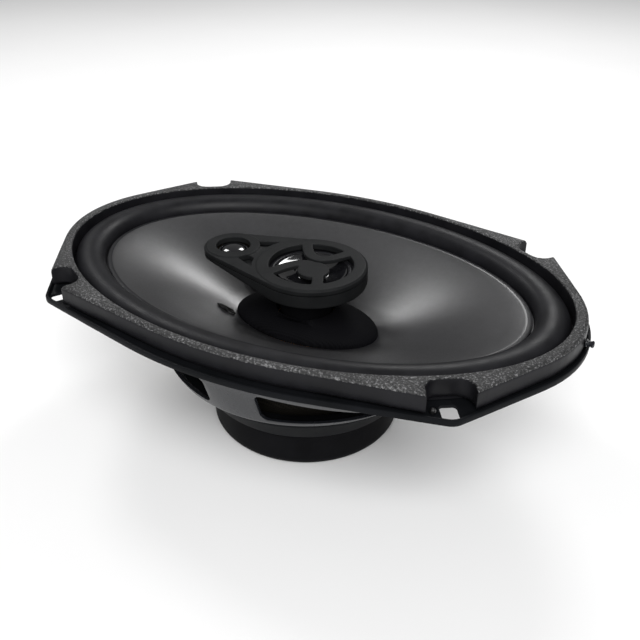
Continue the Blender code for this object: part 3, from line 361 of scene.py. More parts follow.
def cells(tree, coords, scale, feature="F1"):
    made = tree.nodes.new("ShaderNodeTexVoronoi")
    made.feature = feature
    made.inputs["Scale"].default_value = scale
    tree.links.new(coords, made.inputs["Vector"])
    return made.outputs["Distance"]


def ramp(tree, value, low, high, start=0.3, end=0.7):
    made = tree.nodes.new("ShaderNodeValToRGB")
    made.color_ramp.elements[0].position, made.color_ramp.elements[1].position = start, end
    made.color_ramp.elements[0].color, made.color_ramp.elements[1].color = (*low, 1), (*high, 1)
    tree.links.new(value, made.inputs["Fac"])
    return made.outputs["Color"]


def spread(tree, value, low, high, start=0.3, end=0.7):
    made = tree.nodes.new("ShaderNodeMapRange")
    made.inputs["From Min"].default_value, made.inputs["From Max"].default_value = start, end
    made.inputs["To Min"].default_value, made.inputs["To Max"].default_value = low, high
    tree.links.new(value, made.inputs["Value"])
    return made.outputs["Result"]


def maths(tree, operation, first, second):
    made = tree.nodes.new("ShaderNodeMath")
    made.operation = operation
    for socket, value in zip(made.inputs, (first, second)):
        if isinstance(value, (int, float)):
            socket.default_value = value
        else:
            tree.links.new(value, socket)
    return made.outputs["Value"]


def bump(tree, shader, height, depth, strength=1.0):
    # depth in millimetres
    made = tree.nodes.new("ShaderNodeBump")
    made.inputs["Distance"].default_value = depth * mm
    made.inputs["Strength"].default_value = strength
    tree.links.new(height, made.inputs["Height"])
    tree.links.new(made.outputs["Normal"], shader.inputs["Normal"])


def finish(tree, shader, colour=None, roughness=None):
    if colour is not None:
        tree.links.new(colour, shader.inputs["Base Color"])
    if roughness is not None:
        tree.links.new(roughness, shader.inputs["Roughness"])


plainFinishes = {
    # colour low, high, metallic, specular, roughness low, high, mottle and grain per metre, height in mm
    "basketPaint": ((0.008, 0.009, 0.011), (0.015, 0.016, 0.020), 0.0, 0.42, 0.20, 0.32, 60, 1400, 0.008),
    # a darker, duller copy of basketPaint; on the ledge under the window ring it is painted shade
    "dullPaintAndPaintedShade": ((0.004, 0.0045, 0.005), (0.007, 0.0075, 0.009), 0.0, 0.05, 0.32, 0.46, 60, 1400, 0.008),
    "bootRubber": ((0.003, 0.003, 0.0035), (0.006, 0.006, 0.007), 0.0, 0.04, 0.42, 0.58, 90, 2600, 0.020),
    "butylRubber": ((0.006, 0.006, 0.007), (0.010, 0.010, 0.012), 0.0, 0.16, 0.38, 0.50, 120, 3000, 0.012),
    "gasketSide": ((0.006, 0.006, 0.007), (0.011, 0.011, 0.013), 0.0, 0.16, 0.30, 0.46, 90, 1800, 0.02),
    "podPlastic": ((0.008, 0.0085, 0.009), (0.014, 0.0145, 0.015), 0.0, 0.08, 0.44, 0.58, 80, 3600, 0.030),
    "postPlastic": ((0.003, 0.003, 0.0035), (0.006, 0.006, 0.007), 0.0, 0.03, 0.50, 0.65, 80, 2400, 0.02),
    "glossFilm": ((0.004, 0.004, 0.005), (0.008, 0.008, 0.009), 0.0, 1.0, 0.05, 0.12, 200, 900, 0.003),
    "zincPlate": ((0.52, 0.52, 0.50), (0.68, 0.68, 0.66), 1.0, 0.50, 0.24, 0.42, 150, 2500, 0.006),
    "darkZinc": ((0.10, 0.10, 0.10), (0.20, 0.20, 0.20), 1.0, 0.50, 0.25, 0.45, 150, 2500, 0.006),
    "brassPlate": ((0.55, 0.40, 0.16), (0.70, 0.54, 0.26), 1.0, 0.50, 0.20, 0.36, 200, 2500, 0.005),
    "ferriteGrain": ((0.030, 0.030, 0.032), (0.065, 0.064, 0.066), 0.0, 0.40, 0.50, 0.72, 300, 4000, 0.03),
    "glueBlack": ((0.002, 0.002, 0.002), (0.005, 0.005, 0.005), 0.0, 0.12, 0.26, 0.44, 250, 900, 0.05),
    "kaptonFilm": ((0.30, 0.11, 0.015), (0.42, 0.18, 0.03), 0.0, 0.50, 0.16, 0.30, 200, 1800, 0.004),
    "boardLaminate": ((0.05, 0.036, 0.022), (0.09, 0.068, 0.040), 0.0, 0.35, 0.45, 0.65, 300, 3200, 0.02),
    "capacitorSleeve": ((0.008, 0.014, 0.040), (0.016, 0.026, 0.066), 0.0, 0.45, 0.18, 0.32, 150, 1400, 0.01),
    "floorPaper": ((0.90, 0.90, 0.90), (0.93, 0.93, 0.93), 0.0, 0.20, 0.85, 0.95, 3, 200, 0.02),
}


def plainFinish(name):
    low, high, metallic, specular, smoothest, roughest, mottle, grain, depth = plainFinishes[name]
    material, tree, shader = newMaterial(name, high, roughest, metallic)
    shader.inputs["Specular IOR Level"].default_value = specular
    coords = objectCoords(tree)
    clouds = noise(tree, coords, mottle)
    fine = noise(tree, coords, grain, 2.0)
    finish(tree, shader, ramp(tree, clouds, low, high), spread(tree, clouds, smoothest, roughest))
    bump(tree, shader, fine, depth)
    return material


# pale: the raised grains' colour, partly the foam's grey speckle and partly a painted highlight
gasketLook = {"dark": (0.003, 0.003, 0.0035), "pale": (0.24, 0.24, 0.245), "grain": 1150, "depth": 0.6,
              "specular": 0.6, "smoothest": 0.40, "roughest": 0.60}


def gasketGrain():
    # sandy speckle with the raised grains painted paler, partly the foam's own grey speckle and partly a
    # painted highlight
    material, tree, shader = newMaterial("gasketGrain", gasketLook["dark"], 0.6)
    coords = objectCoords(tree)
    grains = noise(tree, coords, gasketLook["grain"], 3.0, 0.7)
    patches = noise(tree, coords, 70, 3.0)
    mixed = maths(tree, "ADD", maths(tree, "MULTIPLY", grains, 0.85), maths(tree, "MULTIPLY", patches, 0.15))
    finish(tree, shader, ramp(tree, mixed, gasketLook["dark"], gasketLook["pale"], 0.51, 0.68),
           spread(tree, grains, gasketLook["smoothest"], gasketLook["roughest"]))
    shader.inputs["Specular IOR Level"].default_value = gasketLook["specular"]
    bump(tree, shader, grains, gasketLook["depth"])
    return material


coneLook = {"dark": (0.007, 0.007, 0.008), "pale": (0.017, 0.017, 0.019), "fleck": 2600, "fibre": 420,
            "specular": 0.85, "smoothest": 0.29, "roughest": 0.40}


def micaCone():
    # pressed pulp with fine mica flecks
    material, tree, shader = newMaterial("micaCone", coneLook["pale"], 0.4)
    coords = objectCoords(tree)
    fibres = noise(tree, coords, coneLook["fibre"], 6.0, 0.65)
    flecks = cells(tree, coords, coneLook["fleck"])
    patches = noise(tree, coords, 45, 2.0)
    mixed = maths(tree, "ADD", maths(tree, "MULTIPLY", fibres, 0.6), maths(tree, "MULTIPLY", patches, 0.4))
    finish(tree, shader, ramp(tree, mixed, coneLook["dark"], coneLook["pale"], 0.35, 0.65),
           spread(tree, flecks, coneLook["smoothest"], coneLook["roughest"], 0.1, 0.8))
    shader.inputs["Specular IOR Level"].default_value = coneLook["specular"]
    bump(tree, shader, maths(tree, "ADD", fibres, maths(tree, "MULTIPLY", flecks, 0.3)), 0.03)
    return material


def bandWave(tree, coords, direction, scale):
    wave = tree.nodes.new("ShaderNodeTexWave")
    wave.bands_direction = direction
    wave.inputs["Scale"].default_value = scale
    tree.links.new(coords, wave.inputs["Vector"])
    return wave


def wovenCloth(name, low, high, threads, roughness, specular, depth):
    # two sets of threads, over and under
    material, tree, shader = newMaterial(name, high, roughness)
    coords = objectCoords(tree)
    bands = []
    for direction in ("X", "Y"):
        wave = bandWave(tree, coords, direction, threads)
        wave.inputs["Distortion"].default_value = 0.6
        wave.inputs["Detail"].default_value = 1.0
        bands.append(wave.outputs["Fac"])
    weave = maths(tree, "MAXIMUM", *bands)
    stains = noise(tree, coords, 80)
    mixed = maths(tree, "ADD", maths(tree, "MULTIPLY", weave, 0.6), maths(tree, "MULTIPLY", stains, 0.4))
    finish(tree, shader, ramp(tree, mixed, low, high, 0.3, 0.85))
    shader.inputs["Specular IOR Level"].default_value = specular
    bump(tree, shader, weave, depth)
    return material


def woundCopper():
    # fine turns of wire up the coil
    material, tree, shader = newMaterial("woundCopper", (0.55, 0.22, 0.09), 0.3, 1.0)
    coords = objectCoords(tree)
    wave = bandWave(tree, coords, "Z", 392.5)
    finish(tree, shader, ramp(tree, wave.outputs["Fac"], (0.28, 0.09, 0.03), (0.62, 0.27, 0.11), 0.1, 0.6),
           spread(tree, noise(tree, coords, 200), 0.22, 0.4))
    bump(tree, shader, wave.outputs["Fac"], 0.08)
    return material


def leadBraid():
    # slanting strands across the lead
    material, tree, shader = newMaterial("leadBraid", (0.5, 0.27, 0.14), 0.35, 0.9)
    coords = objectCoords(tree, (1, 1, 2))
    wave = bandWave(tree, coords, "DIAGONAL", 700)
    finish(tree, shader, ramp(tree, wave.outputs["Fac"], (0.22, 0.10, 0.05), (0.66, 0.42, 0.26), 0.2, 0.7))
    bump(tree, shader, wave.outputs["Fac"], 0.12)
    return material


print("materials")
plain = {name: plainFinish(name) for name in plainFinishes}
gasketTop = gasketGrain()
coneFace = micaCone()
spiderCloth = wovenCloth("spiderCloth", (0.004, 0.004, 0.003), (0.016, 0.014, 0.011), 320, 0.85, 0.1, 0.09)
skirtCloth = wovenCloth("skirtCloth", (0.002, 0.002, 0.0025), (0.005, 0.005, 0.006), 420, 0.7, 0.03, 0.03)
coilWire = woundCopper()
braid = leadBraid()


# Basket

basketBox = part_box("basket")
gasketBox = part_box("gasket_ring")

rim = {"halfX": basketBox[1].x, "halfY": basketBox[1].y, "ear": 6.2 * mm, "holeX": 82.9 * mm,
       "holeY": 57.2 * mm, "top": basketBox[1].z - 1.4 * mm, "sheet": 1.2 * mm, "lipRise": 1.4 * mm}
bowl = {"topX": 106.8 * mm, "topY": 67.7 * mm, "waistX": 84.7 * mm, "waistY": 62.9 * mm, "waistPower": 2.3,
        "ringRadius": 57.6 * mm, "ringZ": 36.7 * mm, "shelfRadius": 52.6 * mm,
        "shelfZ": 31.3 * mm, "cupTop": 46.0 * mm, "cupLow": 43.0 * mm, "floorZ": 18.7 * mm,
        "floorHole": 20.0 * mm}
window = {"low": 37.4 * mm, "top": 52.4 * mm, "shortArm": 11.2 * mm, "longArm": 22.0 * mm, "corner": 3.2 * mm}
holes = {"length": 8.0 * mm, "width": 6.2 * mm, "corner": 1.5 * mm, "turn": math.radians(59)}
basketEdge = {"width": 0.22 * mm, "sharp": 50, "smooth": 40}
# the recess under the window ring, where the darker paint is painted shade
ledgeShadeZone = {"below": 36.2 * mm, "within": 56.5 * mm}
rimSteps = [
    # inset, level, height above it, in millimetres
    (0.45, "under", 0), (0.1, "under", 0.2), (0, "under", 0.6), (0, "lip", -0.4), (0.12, "lip", -0.12),
    (0.42, "lip", 0), (0.8, "lip", 0), (1.08, "lip", -0.12), (1.2, "lip", -0.4), (1.3, "top", 0.4),
    (1.75, "top", 0),
]
upperBowl = ((0, 64.3), (0.12, 62.6), (0.35, 60.2), (0.68, 56.6), (1, 53.0))
lowerBowl = ((0.22, 49.4), (0.5, 44.8), (0.78, 40.3), (1, 36.7))
ledgeSteps = [
    # radius, added to it, level, added to it, in millimetres
    ("ringRadius", -0.4, "ledge", -0.35), ("ringRadius", -1.0, "ledge", -0.5),
    ("shelfRadius", 0.8, "ledge", -0.6), ("shelfRadius", 0.2, "ledge", -0.8),
    ("shelfRadius", 0, "ledge", -1.4), ("shelfRadius", 0, "shelf", 0.8),
    ("shelfRadius", -0.2, "shelf", 0.2), ("shelfRadius", -0.8, "shelf", 0), ("cupTop", 0.8, "shelf", 0),
    ("cupTop", 0, "shelf", -0.6), ("cupLow", 0.4, "floor", 1.2), ("cupLow", -0.8, "floor", 0),
]
corners = ((1, 1), (-1, 1), (-1, -1), (1, -1))


def earPlaces():
    for sideX, sideY in corners:
        outward = math.atan2(sideY * math.sin(holes["turn"]), sideX * math.cos(holes["turn"]))
        yield sideX * rim["holeX"], sideY * rim["holeY"], outward


def mixOval(first, second, share, z):
    # between two sections, for the bowl's gentle curve
    def section(angle):
        start, stop = first(angle), second(angle)
        point = start.lerp(stop, share)
        point.z = z
        return point
    return section


def bowlSections(out):
    # the bowl's wall from the rim down to the cup's floor, moved out by the sheet on the outer side
    top = oval(bowl["topX"] + out, bowl["topY"] + out, 0)
    waist = oval(bowl["waistX"] + out, bowl["waistY"] + out, 0, bowl["waistPower"])
    ring = circle(bowl["ringRadius"] + out, 0)
    sections = [mixOval(top, waist, share, z * mm - out * 0.5) for share, z in upperBowl]
    sections += [mixOval(waist, ring, share, z * mm - out * 0.4) for share, z in lowerBowl]
    levels = {"ledge": bowl["ringZ"] - out * 0.9, "shelf": bowl["shelfZ"] - out,
              "floor": bowl["floorZ"] - out}
    for radius, wider, level, higher in ledgeSteps:
        sections.append(circle(bowl[radius] + wider * mm + out, levels[level] + higher * mm))
    sections.append(circle(bowl["floorHole"], levels["floor"]))
    return sections


def windowCutter(sideX, sideY):
    low = Vector((window["shortArm"], window["longArm"], window["low"]))
    high = Vector((rim["halfX"], rim["halfY"], window["top"]))
    middle = (low + high) / 2
    bm = box(high - low, (sideX * middle.x, sideY * middle.y, middle.z))
    edges = []
    for edge in bm.edges:
        centre = (edge.verts[0].co + edge.verts[1].co) / 2
        onArm = min(abs(abs(centre.x) - low.x), abs(abs(centre.y) - low.y)) < 0.1 * mm
        if abs(centre.z - middle.z) > mm and onArm:
            edges.append(edge)
    bevel(bm, edges, window["corner"], 8)
    return finished("windowCutter", bm, [], 0)


def makeBasket():
    top, sheet, lip = rim["top"], rim["sheet"], rim["lipRise"]
    under = top - sheet
    levels = {"under": under, "top": top, "lip": top + lip}
    sections = [rimLine(inset * mm, levels[level] + higher * mm) for inset, level, higher in rimSteps]
    for wider, z in ((1.4 * mm, top), (0.5 * mm, top - 0.4 * mm)):
        sections.append(oval(bowl["topX"] + wider, bowl["topY"] + wider, z))
    sections += bowlSections(0) + bowlSections(sheet)[::-1]
    sections.append(oval(bowl["topX"] + 2.6 * mm, bowl["topY"] + 2.6 * mm, under))
    paints = [plain["basketPaint"], plain["dullPaintAndPaintedShade"]]
    item = finished("basketShell", loft(sections, rimAngles()), paints, smooth=0)
    cutters = [windowCutter(sideX, sideY) for sideX, sideY in corners]
    for x, y, outward in earPlaces():
        bm = bevelAlong(box((holes["length"], holes["width"], 8 * sheet)), (0, 0, 1), holes["corner"])
        moved(bm, Matrix.Translation((x, y, top)) @ Matrix.Rotation(outward, 4, "Z"))
        cutters.append(finished("holeCutter", bm, [], 0))
    combine(item, cutters)
    edge = item.modifiers.new("edge", "BEVEL")
    edge.width, edge.segments, edge.limit_method = basketEdge["width"], 2, "ANGLE"
    edge.angle_limit = math.radians(basketEdge["sharp"])
    bake(item)
    item.data.shade_smooth()
    item.data.set_sharp_from_angle(angle=math.radians(basketEdge["smooth"]))
    # the ledge under the window ring takes the darker, duller paint as painted shade, and the flange takes
    # the same duller paint
    for face in item.data.polygons:
        middle = face.center
        inLedgeShade = middle.z < ledgeShadeZone["below"] and math.hypot(middle.x, middle.y) < ledgeShadeZone["within"]
        face.material_index = 1 if inLedgeShade or middle.z > under - 0.1 * mm else 0
    return standIn(item, "basket")


# Gasket, pins and peg

gasket = {"halfX": gasketBox[1].x, "halfY": gasketBox[1].y, "ear": 4.6 * mm, "low": gasketBox[0].z,
          "top": gasketBox[1].z, "openX": 109.6 * mm, "openY": 70.8 * mm, "scallopHalf": 8.4 * mm,
          "scallopFloor": 7.0 * mm, "scallopCorner": 5.6 * mm, "scallopReach": 40 * mm,
          "shoulder": ((0, 1.5), (0.25, 0.7), (0.75, 0.2), (1.4, 0)), "voxel": 0.5, "smoothing": 4,
          "topFacing": 0.35}


def makeGasket():
    low, top = gasket["low"], gasket["top"]
    outline = {"halfX": gasket["halfX"], "halfY": gasket["halfY"], "ear": gasket["ear"]}
    sections = [rimLine(0.1 * mm, low, **outline), rimLine(0, low + 0.3 * mm, **outline)]
    sections += [rimLine(inset * mm, top - drop * mm, **outline) for inset, drop in gasket["shoulder"]]
    for wider, z in ((0.4 * mm, top), (0, top - 0.4 * mm), (0, low)):
        sections.append(oval(gasket["openX"] + wider, gasket["openY"] + wider, z))
    item = finished("gasketFoam", loft(sections, rimAngles()), [plain["gasketSide"]], 0)
    cutters = []
    for x, y, outward in earPlaces():
        length = gasket["scallopFloor"] + gasket["scallopReach"]
        size = (length, 2 * gasket["scallopHalf"], 30 * mm)
        bm = box(size, (length / 2 - gasket["scallopFloor"], 0, 0))
        bevelAlong(bm, (0, 0, 1), gasket["scallopCorner"])
        moved(bm, Matrix.Translation((x, y, top)) @ Matrix.Rotation(outward, 4, "Z"))
        cutters.append(finished("scallopCutter", bm, [], 0))
    combine(item, cutters)
    soften(item, gasket["voxel"], gasket["smoothing"], [plain["gasketSide"], gasketTop])
    # top-facing faces take the grain, whose paler grains are partly a painted highlight; the sides stay plain
    # dark
    for face in item.data.polygons:
        face.material_index = 1 if face.normal.z > gasket["topFacing"] else 0
    return standIn(item, "gasket_ring")


def makePins():
    for number in range(1, 5):
        low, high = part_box(f"gasket_pin_{number}")
        radius, height = (high.x - low.x) / 2 / mm, (high.z - low.z) / mm
        profile = [(0, height), (radius * 0.5, height - 0.05), (radius * 0.85, height - 0.3),
                   (radius, height - 0.8), (radius, 0.1), (radius - 0.1, 0), (0, 0)]
        bm = spun(profile, 32)
        bmesh.ops.translate(bm, verts=bm.verts, vec=((low.x + high.x) / 2, (low.y + high.y) / 2, low.z))
        standIn(finished(f"gasketPin{number}", bm, [plain["darkZinc"]]), f"gasket_pin_{number}")
    low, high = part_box("edge_peg")
    radius, height = (high.z - low.z) / 2 / mm, (high.x - low.x) / mm
    profile = [(0, height), (radius * 0.6, height - 0.1), (radius * 0.95, height - 0.6),
               (radius * 0.75, height - 1.2), (radius * 0.75, 0.6), (radius, 0.5), (radius, 0.1),
               (radius - 0.1, 0), (0, 0)]
    bm = spun(profile, 32)
    moved(bm, Matrix.Translation((low.x, 0, (low.z + high.z) / 2)) @ Matrix.Rotation(turn / 4, 4, "Y"))
    standIn(finished("edgePeg", bm, [plain["basketPaint"]]), "edge_peg")


# Cone, surround and spider

cone = {"edgeX": 94.6 * mm, "edgeY": 57.4 * mm, "edgeZ": 67.8 * mm, "land": 2.3 * mm, "sheet": 0.8 * mm,
        "skirtX": 33.0 * mm, "skirtY": 18.6 * mm, "skirtZ": 46.0 * mm, "neck": 16.2 * mm, "neckZ": 41.2 * mm,
        "collarZ": 37.5 * mm, "flare": 1.3 * mm}


def slopeSections(drop):
    # down the cone, shallow at its edge and steeper towards the neck
    inner = oval(cone["edgeX"] - cone["land"], cone["edgeY"] - cone["land"], 0)
    foot = oval(cone["skirtX"], cone["skirtY"], 0)
    high, low = cone["edgeZ"] - drop, cone["skirtZ"] - drop * 1.2
    sections = []
    for share in (0.012, 0.1, 0.2, 0.3, 0.4, 0.5, 0.6, 0.7, 0.8, 0.9, 1.0):
        z = high + (low - high) * share + cone["flare"] * math.sin(share * turn / 2)
        sections.append(mixOval(inner, foot, share, z))
    return sections


def makeCone():
    neck, collar, edge, sheet = cone["neck"], cone["collarZ"], cone["edgeZ"], cone["sheet"]

    def edgeOval(inset, z):
        return oval(cone["edgeX"] - inset, cone["edgeY"] - inset, z)

    land = cone["land"] - 0.3 * mm
    sections = [edgeOval(0, edge - 0.5 * mm), edgeOval(0.1 * mm, edge - 0.15 * mm), edgeOval(0.4 * mm, edge),
                edgeOval(land, edge)]
    sections += slopeSections(0)
    sections += [circle(neck + 0.6 * mm, cone["neckZ"] + 0.4 * mm), circle(neck, cone["neckZ"] - 0.3 * mm),
                 circle(neck, collar), circle(neck + 1.0 * mm, collar),
                 circle(neck + 1.0 * mm, cone["neckZ"] - 1.2 * mm)]
    sections += slopeSections(sheet)[::-1]
    sections += [edgeOval(land, edge - sheet), edgeOval(0.1 * mm, edge - sheet)]
    item = finished("conePulp", loft(sections, evenAngles(240)), [coneFace, plain["butylRubber"]], 40)
    flat = cone["land"] - 0.2 * mm
    for face in item.data.polygons:
        reach = ovalReach(angleOf(face.center), cone["edgeX"] - flat, cone["edgeY"] - flat)
        face.material_index = 1 if math.hypot(face.center.x, face.center.y) > reach else 0
    return standIn(item, "woofer_cone", "cone_assembly")


skirt = {"rise": 8.2 * mm, "base": 46.4 * mm, "hole": 12.6 * mm, "sheet": 1.0 * mm, "inset": 0.2 * mm,
         "steps": 12, "degrees": 4, "squareness": 0.4}


def domeSections(inset):
    sections = []
    for step in range(skirt["steps"] + 1):
        lift = math.radians(step * skirt["degrees"])
        halfX = (cone["skirtX"] - inset) * math.cos(lift)
        halfY = (cone["skirtY"] - inset) * math.cos(lift)
        z = skirt["base"] + (skirt["rise"] - inset) * math.sin(lift)
        sections.append(oval(halfX, halfY, z, 2 + skirt["squareness"] * math.sin(lift)))
    return sections


def makeDustSkirt():
    crown = skirt["base"] + skirt["rise"]
    outer, inner = domeSections(skirt["inset"]), domeSections(skirt["inset"] + skirt["sheet"])
    hole = [circle(skirt["hole"] + 0.9 * mm, crown - 0.15 * mm), circle(skirt["hole"] + 0.3 * mm, crown),
            circle(skirt["hole"], crown - 0.3 * mm), circle(skirt["hole"], crown - 1.0 * mm)]
    foot = cone["skirtZ"] + 0.03 * mm
    outer.insert(0, oval(cone["skirtX"] - 0.15 * mm, cone["skirtY"] - 0.15 * mm, foot))
    inner.insert(0, oval(cone["skirtX"] - 1.2 * mm, cone["skirtY"] - 1.2 * mm, foot))
    item = finished("dustSkirt", loft(outer + hole + inner[::-1], evenAngles(160)), [skirtCloth], 40)
    return standIn(item, "dust_skirt", "cone_assembly")


surround = {"innerX": 94.6, "innerY": 57.4, "outerX": 109.6, "outerY": 70.8, "clear": 0.5, "land": 2.2,
            "low": 66.1, "sheet": 0.6, "rise": 6.5, "fullness": 0.85, "steps": 28}


def makeSurround():
    midX = (surround["innerX"] + surround["outerX"]) / 2
    midY = (surround["innerY"] + surround["outerY"]) / 2
    halfX = (surround["outerX"] - surround["innerX"]) / 2 - surround["clear"]
    halfY = (surround["outerY"] - surround["innerY"]) / 2 - surround["clear"]
    reach = surround["clear"] + surround["land"]
    top, low, steps = surround["low"] + surround["sheet"], surround["low"], surround["steps"]

    def around(x, y, z):
        return oval(x * mm, y * mm, z * mm)

    over = [around(midX + halfX + reach, midY + halfY + reach, top)]
    under = [around(midX + halfX + reach, midY + halfY + reach, low)]
    for step in range(steps + 1):
        lift = turn / 2 * step / steps
        side, rise = math.cos(lift), math.sin(lift) ** surround["fullness"] * surround["rise"]
        thin = side * surround["sheet"]
        over.append(around(midX + side * halfX, midY + side * halfY, top + rise))
        under.append(around(midX + side * halfX - thin, midY + side * halfY - thin, low + rise))
    over.append(around(midX - halfX - reach, midY - halfY - reach, top))
    under.append(around(midX - halfX - reach, midY - halfY - reach, low))
    item = finished("surroundRoll", loft(over + under[::-1], evenAngles(240)), [plain["butylRubber"]], 50)

    def share(point):
        angle = angleOf(point)
        inner = ovalReach(angle, surround["innerX"] * mm, surround["innerY"] * mm)
        outer = ovalReach(angle, surround["outerX"] * mm, surround["outerY"] * mm)
        return ease((outer - math.hypot(point.x, point.y)) / (outer - inner))
    return bendBetween(item, "surround", "cone_assembly", share)


spider = {"inner": 16.2, "start": 20.0, "stop": 44.5, "rim": 52.0, "low": 31.6, "sheet": 0.5, "waves": 5,
          "height": 2.2}


def makeSpider():
    steps = spider["waves"] * 12
    low = [(spider["inner"], spider["low"])]
    for step in range(steps + 1):
        radius = spider["start"] + (spider["stop"] - spider["start"]) * step / steps
        wave = 1 - math.cos(turn * spider["waves"] * step / steps)
        low.append((radius, spider["low"] + spider["height"] / 2 * wave))
    low.append((spider["rim"], spider["low"]))
    high = [(radius, height + spider["sheet"]) for radius, height in low]
    item = finished("spiderDisc", spun(high + low[::-1], 144), [spiderCloth], 50)

    def share(point):
        reach = math.hypot(point.x, point.y) / mm
        return ease((spider["stop"] - reach) / (spider["stop"] - spider["start"]))
    return bendBetween(item, "spider", "cone_assembly", share)


# Post and pod

pod = {"x": 2.4, "spacing": 38.0, "plateTop": 74.2, "plateLow": 72.2, "ringTop": 74.8, "baseLow": 66.0,
       "bigRadius": 23.6, "bigOpening": 17.7, "smallRadius": 12.6, "smallOpening": 7.4, "barWidth": 4.7,
       "barLow": 73.1, "tailLow": 69.6, "midCup": 19.5, "tweeterCup": 9.6, "voxel": 0.3,
       "upperBar": (5.6, 0.105, 11.2, 0), "lowerBar": (-0.2, -0.115, 11.8, -1.1), "hub": (3.2, -4.4, 6.6),
       "pocketTail": (24, 48), "pocketBig": (149, 167), "round": 1.6, "tailRound": 1.4}
pod["tail"] = pod["x"] - pod["spacing"]


def ribbon(line, width):
    # an even band along a line, as one closed outline
    left, right = [], []
    for before, point, after in zip([line[0]] + line, line, line[1:] + [line[-1]]):
        along = (Vector(after) - Vector(before)).normalized()
        side = Vector((-along.y, along.x)) * width / 2
        left.append(tuple(Vector(point) + side))
        right.append(tuple(Vector(point) - side))
    return left + right[::-1]


def barLine(apex, curl, reach, shift):
    steps = [reach * (step / 16 - 1) for step in range(33)]
    return [(pod["x"] + shift + x, apex + curl * x * x) for x in steps]


def disc(radius, low, high, centre=(0, 0), steps=96, edge=0.0):
    profile = [(0, high), (radius - edge, high), (radius, high - edge), (radius, low), (0, low)]
    if not edge:
        profile.pop(2)
    return spun(profile, steps, centre)


def podOutline(inset):
    big, small = pod["bigRadius"] - inset, pod["smallRadius"] - inset
    lean = 90 + math.degrees(math.asin((pod["bigRadius"] - pod["smallRadius"]) / pod["spacing"]))
    return arc((pod["x"], 0), big, lean, -lean, 96) + arc((pod["tail"], 0), small, 360 - lean, lean, 40)


def makePodCover():
    centre, tail = (pod["x"], 0), (pod["tail"], 0)
    top, low, paint = pod["ringTop"], pod["plateLow"], plain["podPlastic"]
    item = finished("podCover", plate(podOutline(0), low, pod["plateTop"]), [paint], 0)
    big = finished("big", disc(pod["bigRadius"] - 0.6, low + 0.5, top, centre, edge=0.3), [], 0)
    small = finished("small", disc(pod["smallRadius"] - 0.8, low + 0.5, top, tail, edge=0.3), [], 0)
    combine(item, [big, small], "UNION")
    pockets = []
    for side in (1, -1):
        points = arc(tail, pod["smallRadius"] - 1.0, *pod["pocketTail"], 8)
        points += arc(centre, pod["bigRadius"] + 1.4, *pod["pocketBig"], 8)
        pockets.append(finished("pocket", plate([(x, side * y) for x, y in points], low - 2, top + 2), [], 0))
    opening = finished("opening", disc(pod["bigOpening"], low - 1, top + 1, centre), [], 0)
    hubX, hubY, hubRadius = pod["hub"]
    bars = [ribbon(barLine(*pod[name]), pod["barWidth"]) for name in ("upperBar", "lowerBar")]
    bars.append(arc((pod["x"] + hubX, hubY), hubRadius, 0, 355, 71))
    combine(opening, [finished("bar", plate(points, pod["barLow"], top + 2), [], 0) for points in bars])
    smallOpening = finished("hole", disc(pod["smallOpening"], low - 1, top + 1, tail), [], 0)
    combine(item, pockets + [opening, smallOpening])
    soften(item, pod["voxel"], 3, [paint])
    return standIn(item, "pod_cover")


def makePodHousing():
    x, tail, big, small = pod["x"], pod["tail"], pod["bigRadius"], pod["smallRadius"]
    high, low, tailLow = pod["plateLow"] - 0.3, pod["baseLow"], pod["tailLow"]
    bend, tailBend = pod["round"], pod["tailRound"]
    bm = bmesh.new()
    levels = [(x, big, high), (x, big, low + bend)]
    levels += [(x, big - bend + dx, low + bend - dz) for dx, dz in ((1.39, 0.8), (0.8, 1.39), (0.0, 1.6))]
    levels += [(tail, small, high), (tail, small, tailLow + tailBend)]
    levels += [(tail, small - tailBend, tailLow + 0.4), (tail, small - 2.6, tailLow)]
    for centre, radius, height in levels:
        for px, py in arc((centre, 0), radius, 0, 357.5, 143):
            bm.verts.new((px * mm, py * mm, height * mm))
    hull = bmesh.ops.convex_hull(bm, input=bm.verts)
    loose = [part for part in hull["geom_interior"] if isinstance(part, bmesh.types.BMVert)]
    bmesh.ops.delete(bm, geom=loose, context="VERTS")
    bmesh.ops.recalc_face_normals(bm, faces=bm.faces)
    item = finished("podHousing", bm, [plain["podPlastic"]], 0)
    cups = [disc(pod["midCup"], low + 1.2, high + 2, (x, 0)),
            disc(pod["tweeterCup"], tailLow + 0.8, high + 2, (tail, 0))]
    combine(item, [finished("cup", cup, [], 0) for cup in cups])
    item.data.shade_smooth()
    item.data.set_sharp_from_angle(angle=math.radians(25))
    return standIn(item, "pod_housing")


post = {"bore": 3.4, "depth": 13, "groove": 0.25}


def makePost():
    low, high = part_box("centre_post")
    radius, bottom, top = high.x / mm, low.z / mm, high.z / mm
    bore, depth, groove = post["bore"], bottom + post["depth"], radius - post["groove"]
    profile = [(0, top), (radius - 0.2, top), (radius, top - 0.2), (radius, bottom + 4.2),
               (groove, bottom + 4.0), (groove, bottom + 3.6), (radius, bottom + 3.4),
               (radius, bottom + 0.3), (radius - 0.3, bottom), (bore, bottom), (bore, depth), (0, depth)]
    return standIn(finished("centrePost", spun(profile, 96), [plain["postPlastic"]]), "centre_post")


mid = {"floor": 67.5, "edge": 71.9, "rim": 15.0, "coil": 7.3, "film": 0.35, "dome": 6.9, "domeRise": 1.15,
       "slope": ((7.6, 1.16), (8.2, 1.18), (9.5, 1.12), (10.6, 1.0), (11.6, 0.84), (12.5, 0.64), (13.3, 0.41),
                 (14.0, 0.17), (14.3, 0.07), (14.6, 0.02)),
       "wall": 0.3, "rollFoot": 17.5, "rollMiddle": 16.3, "rollRise": 0.8}


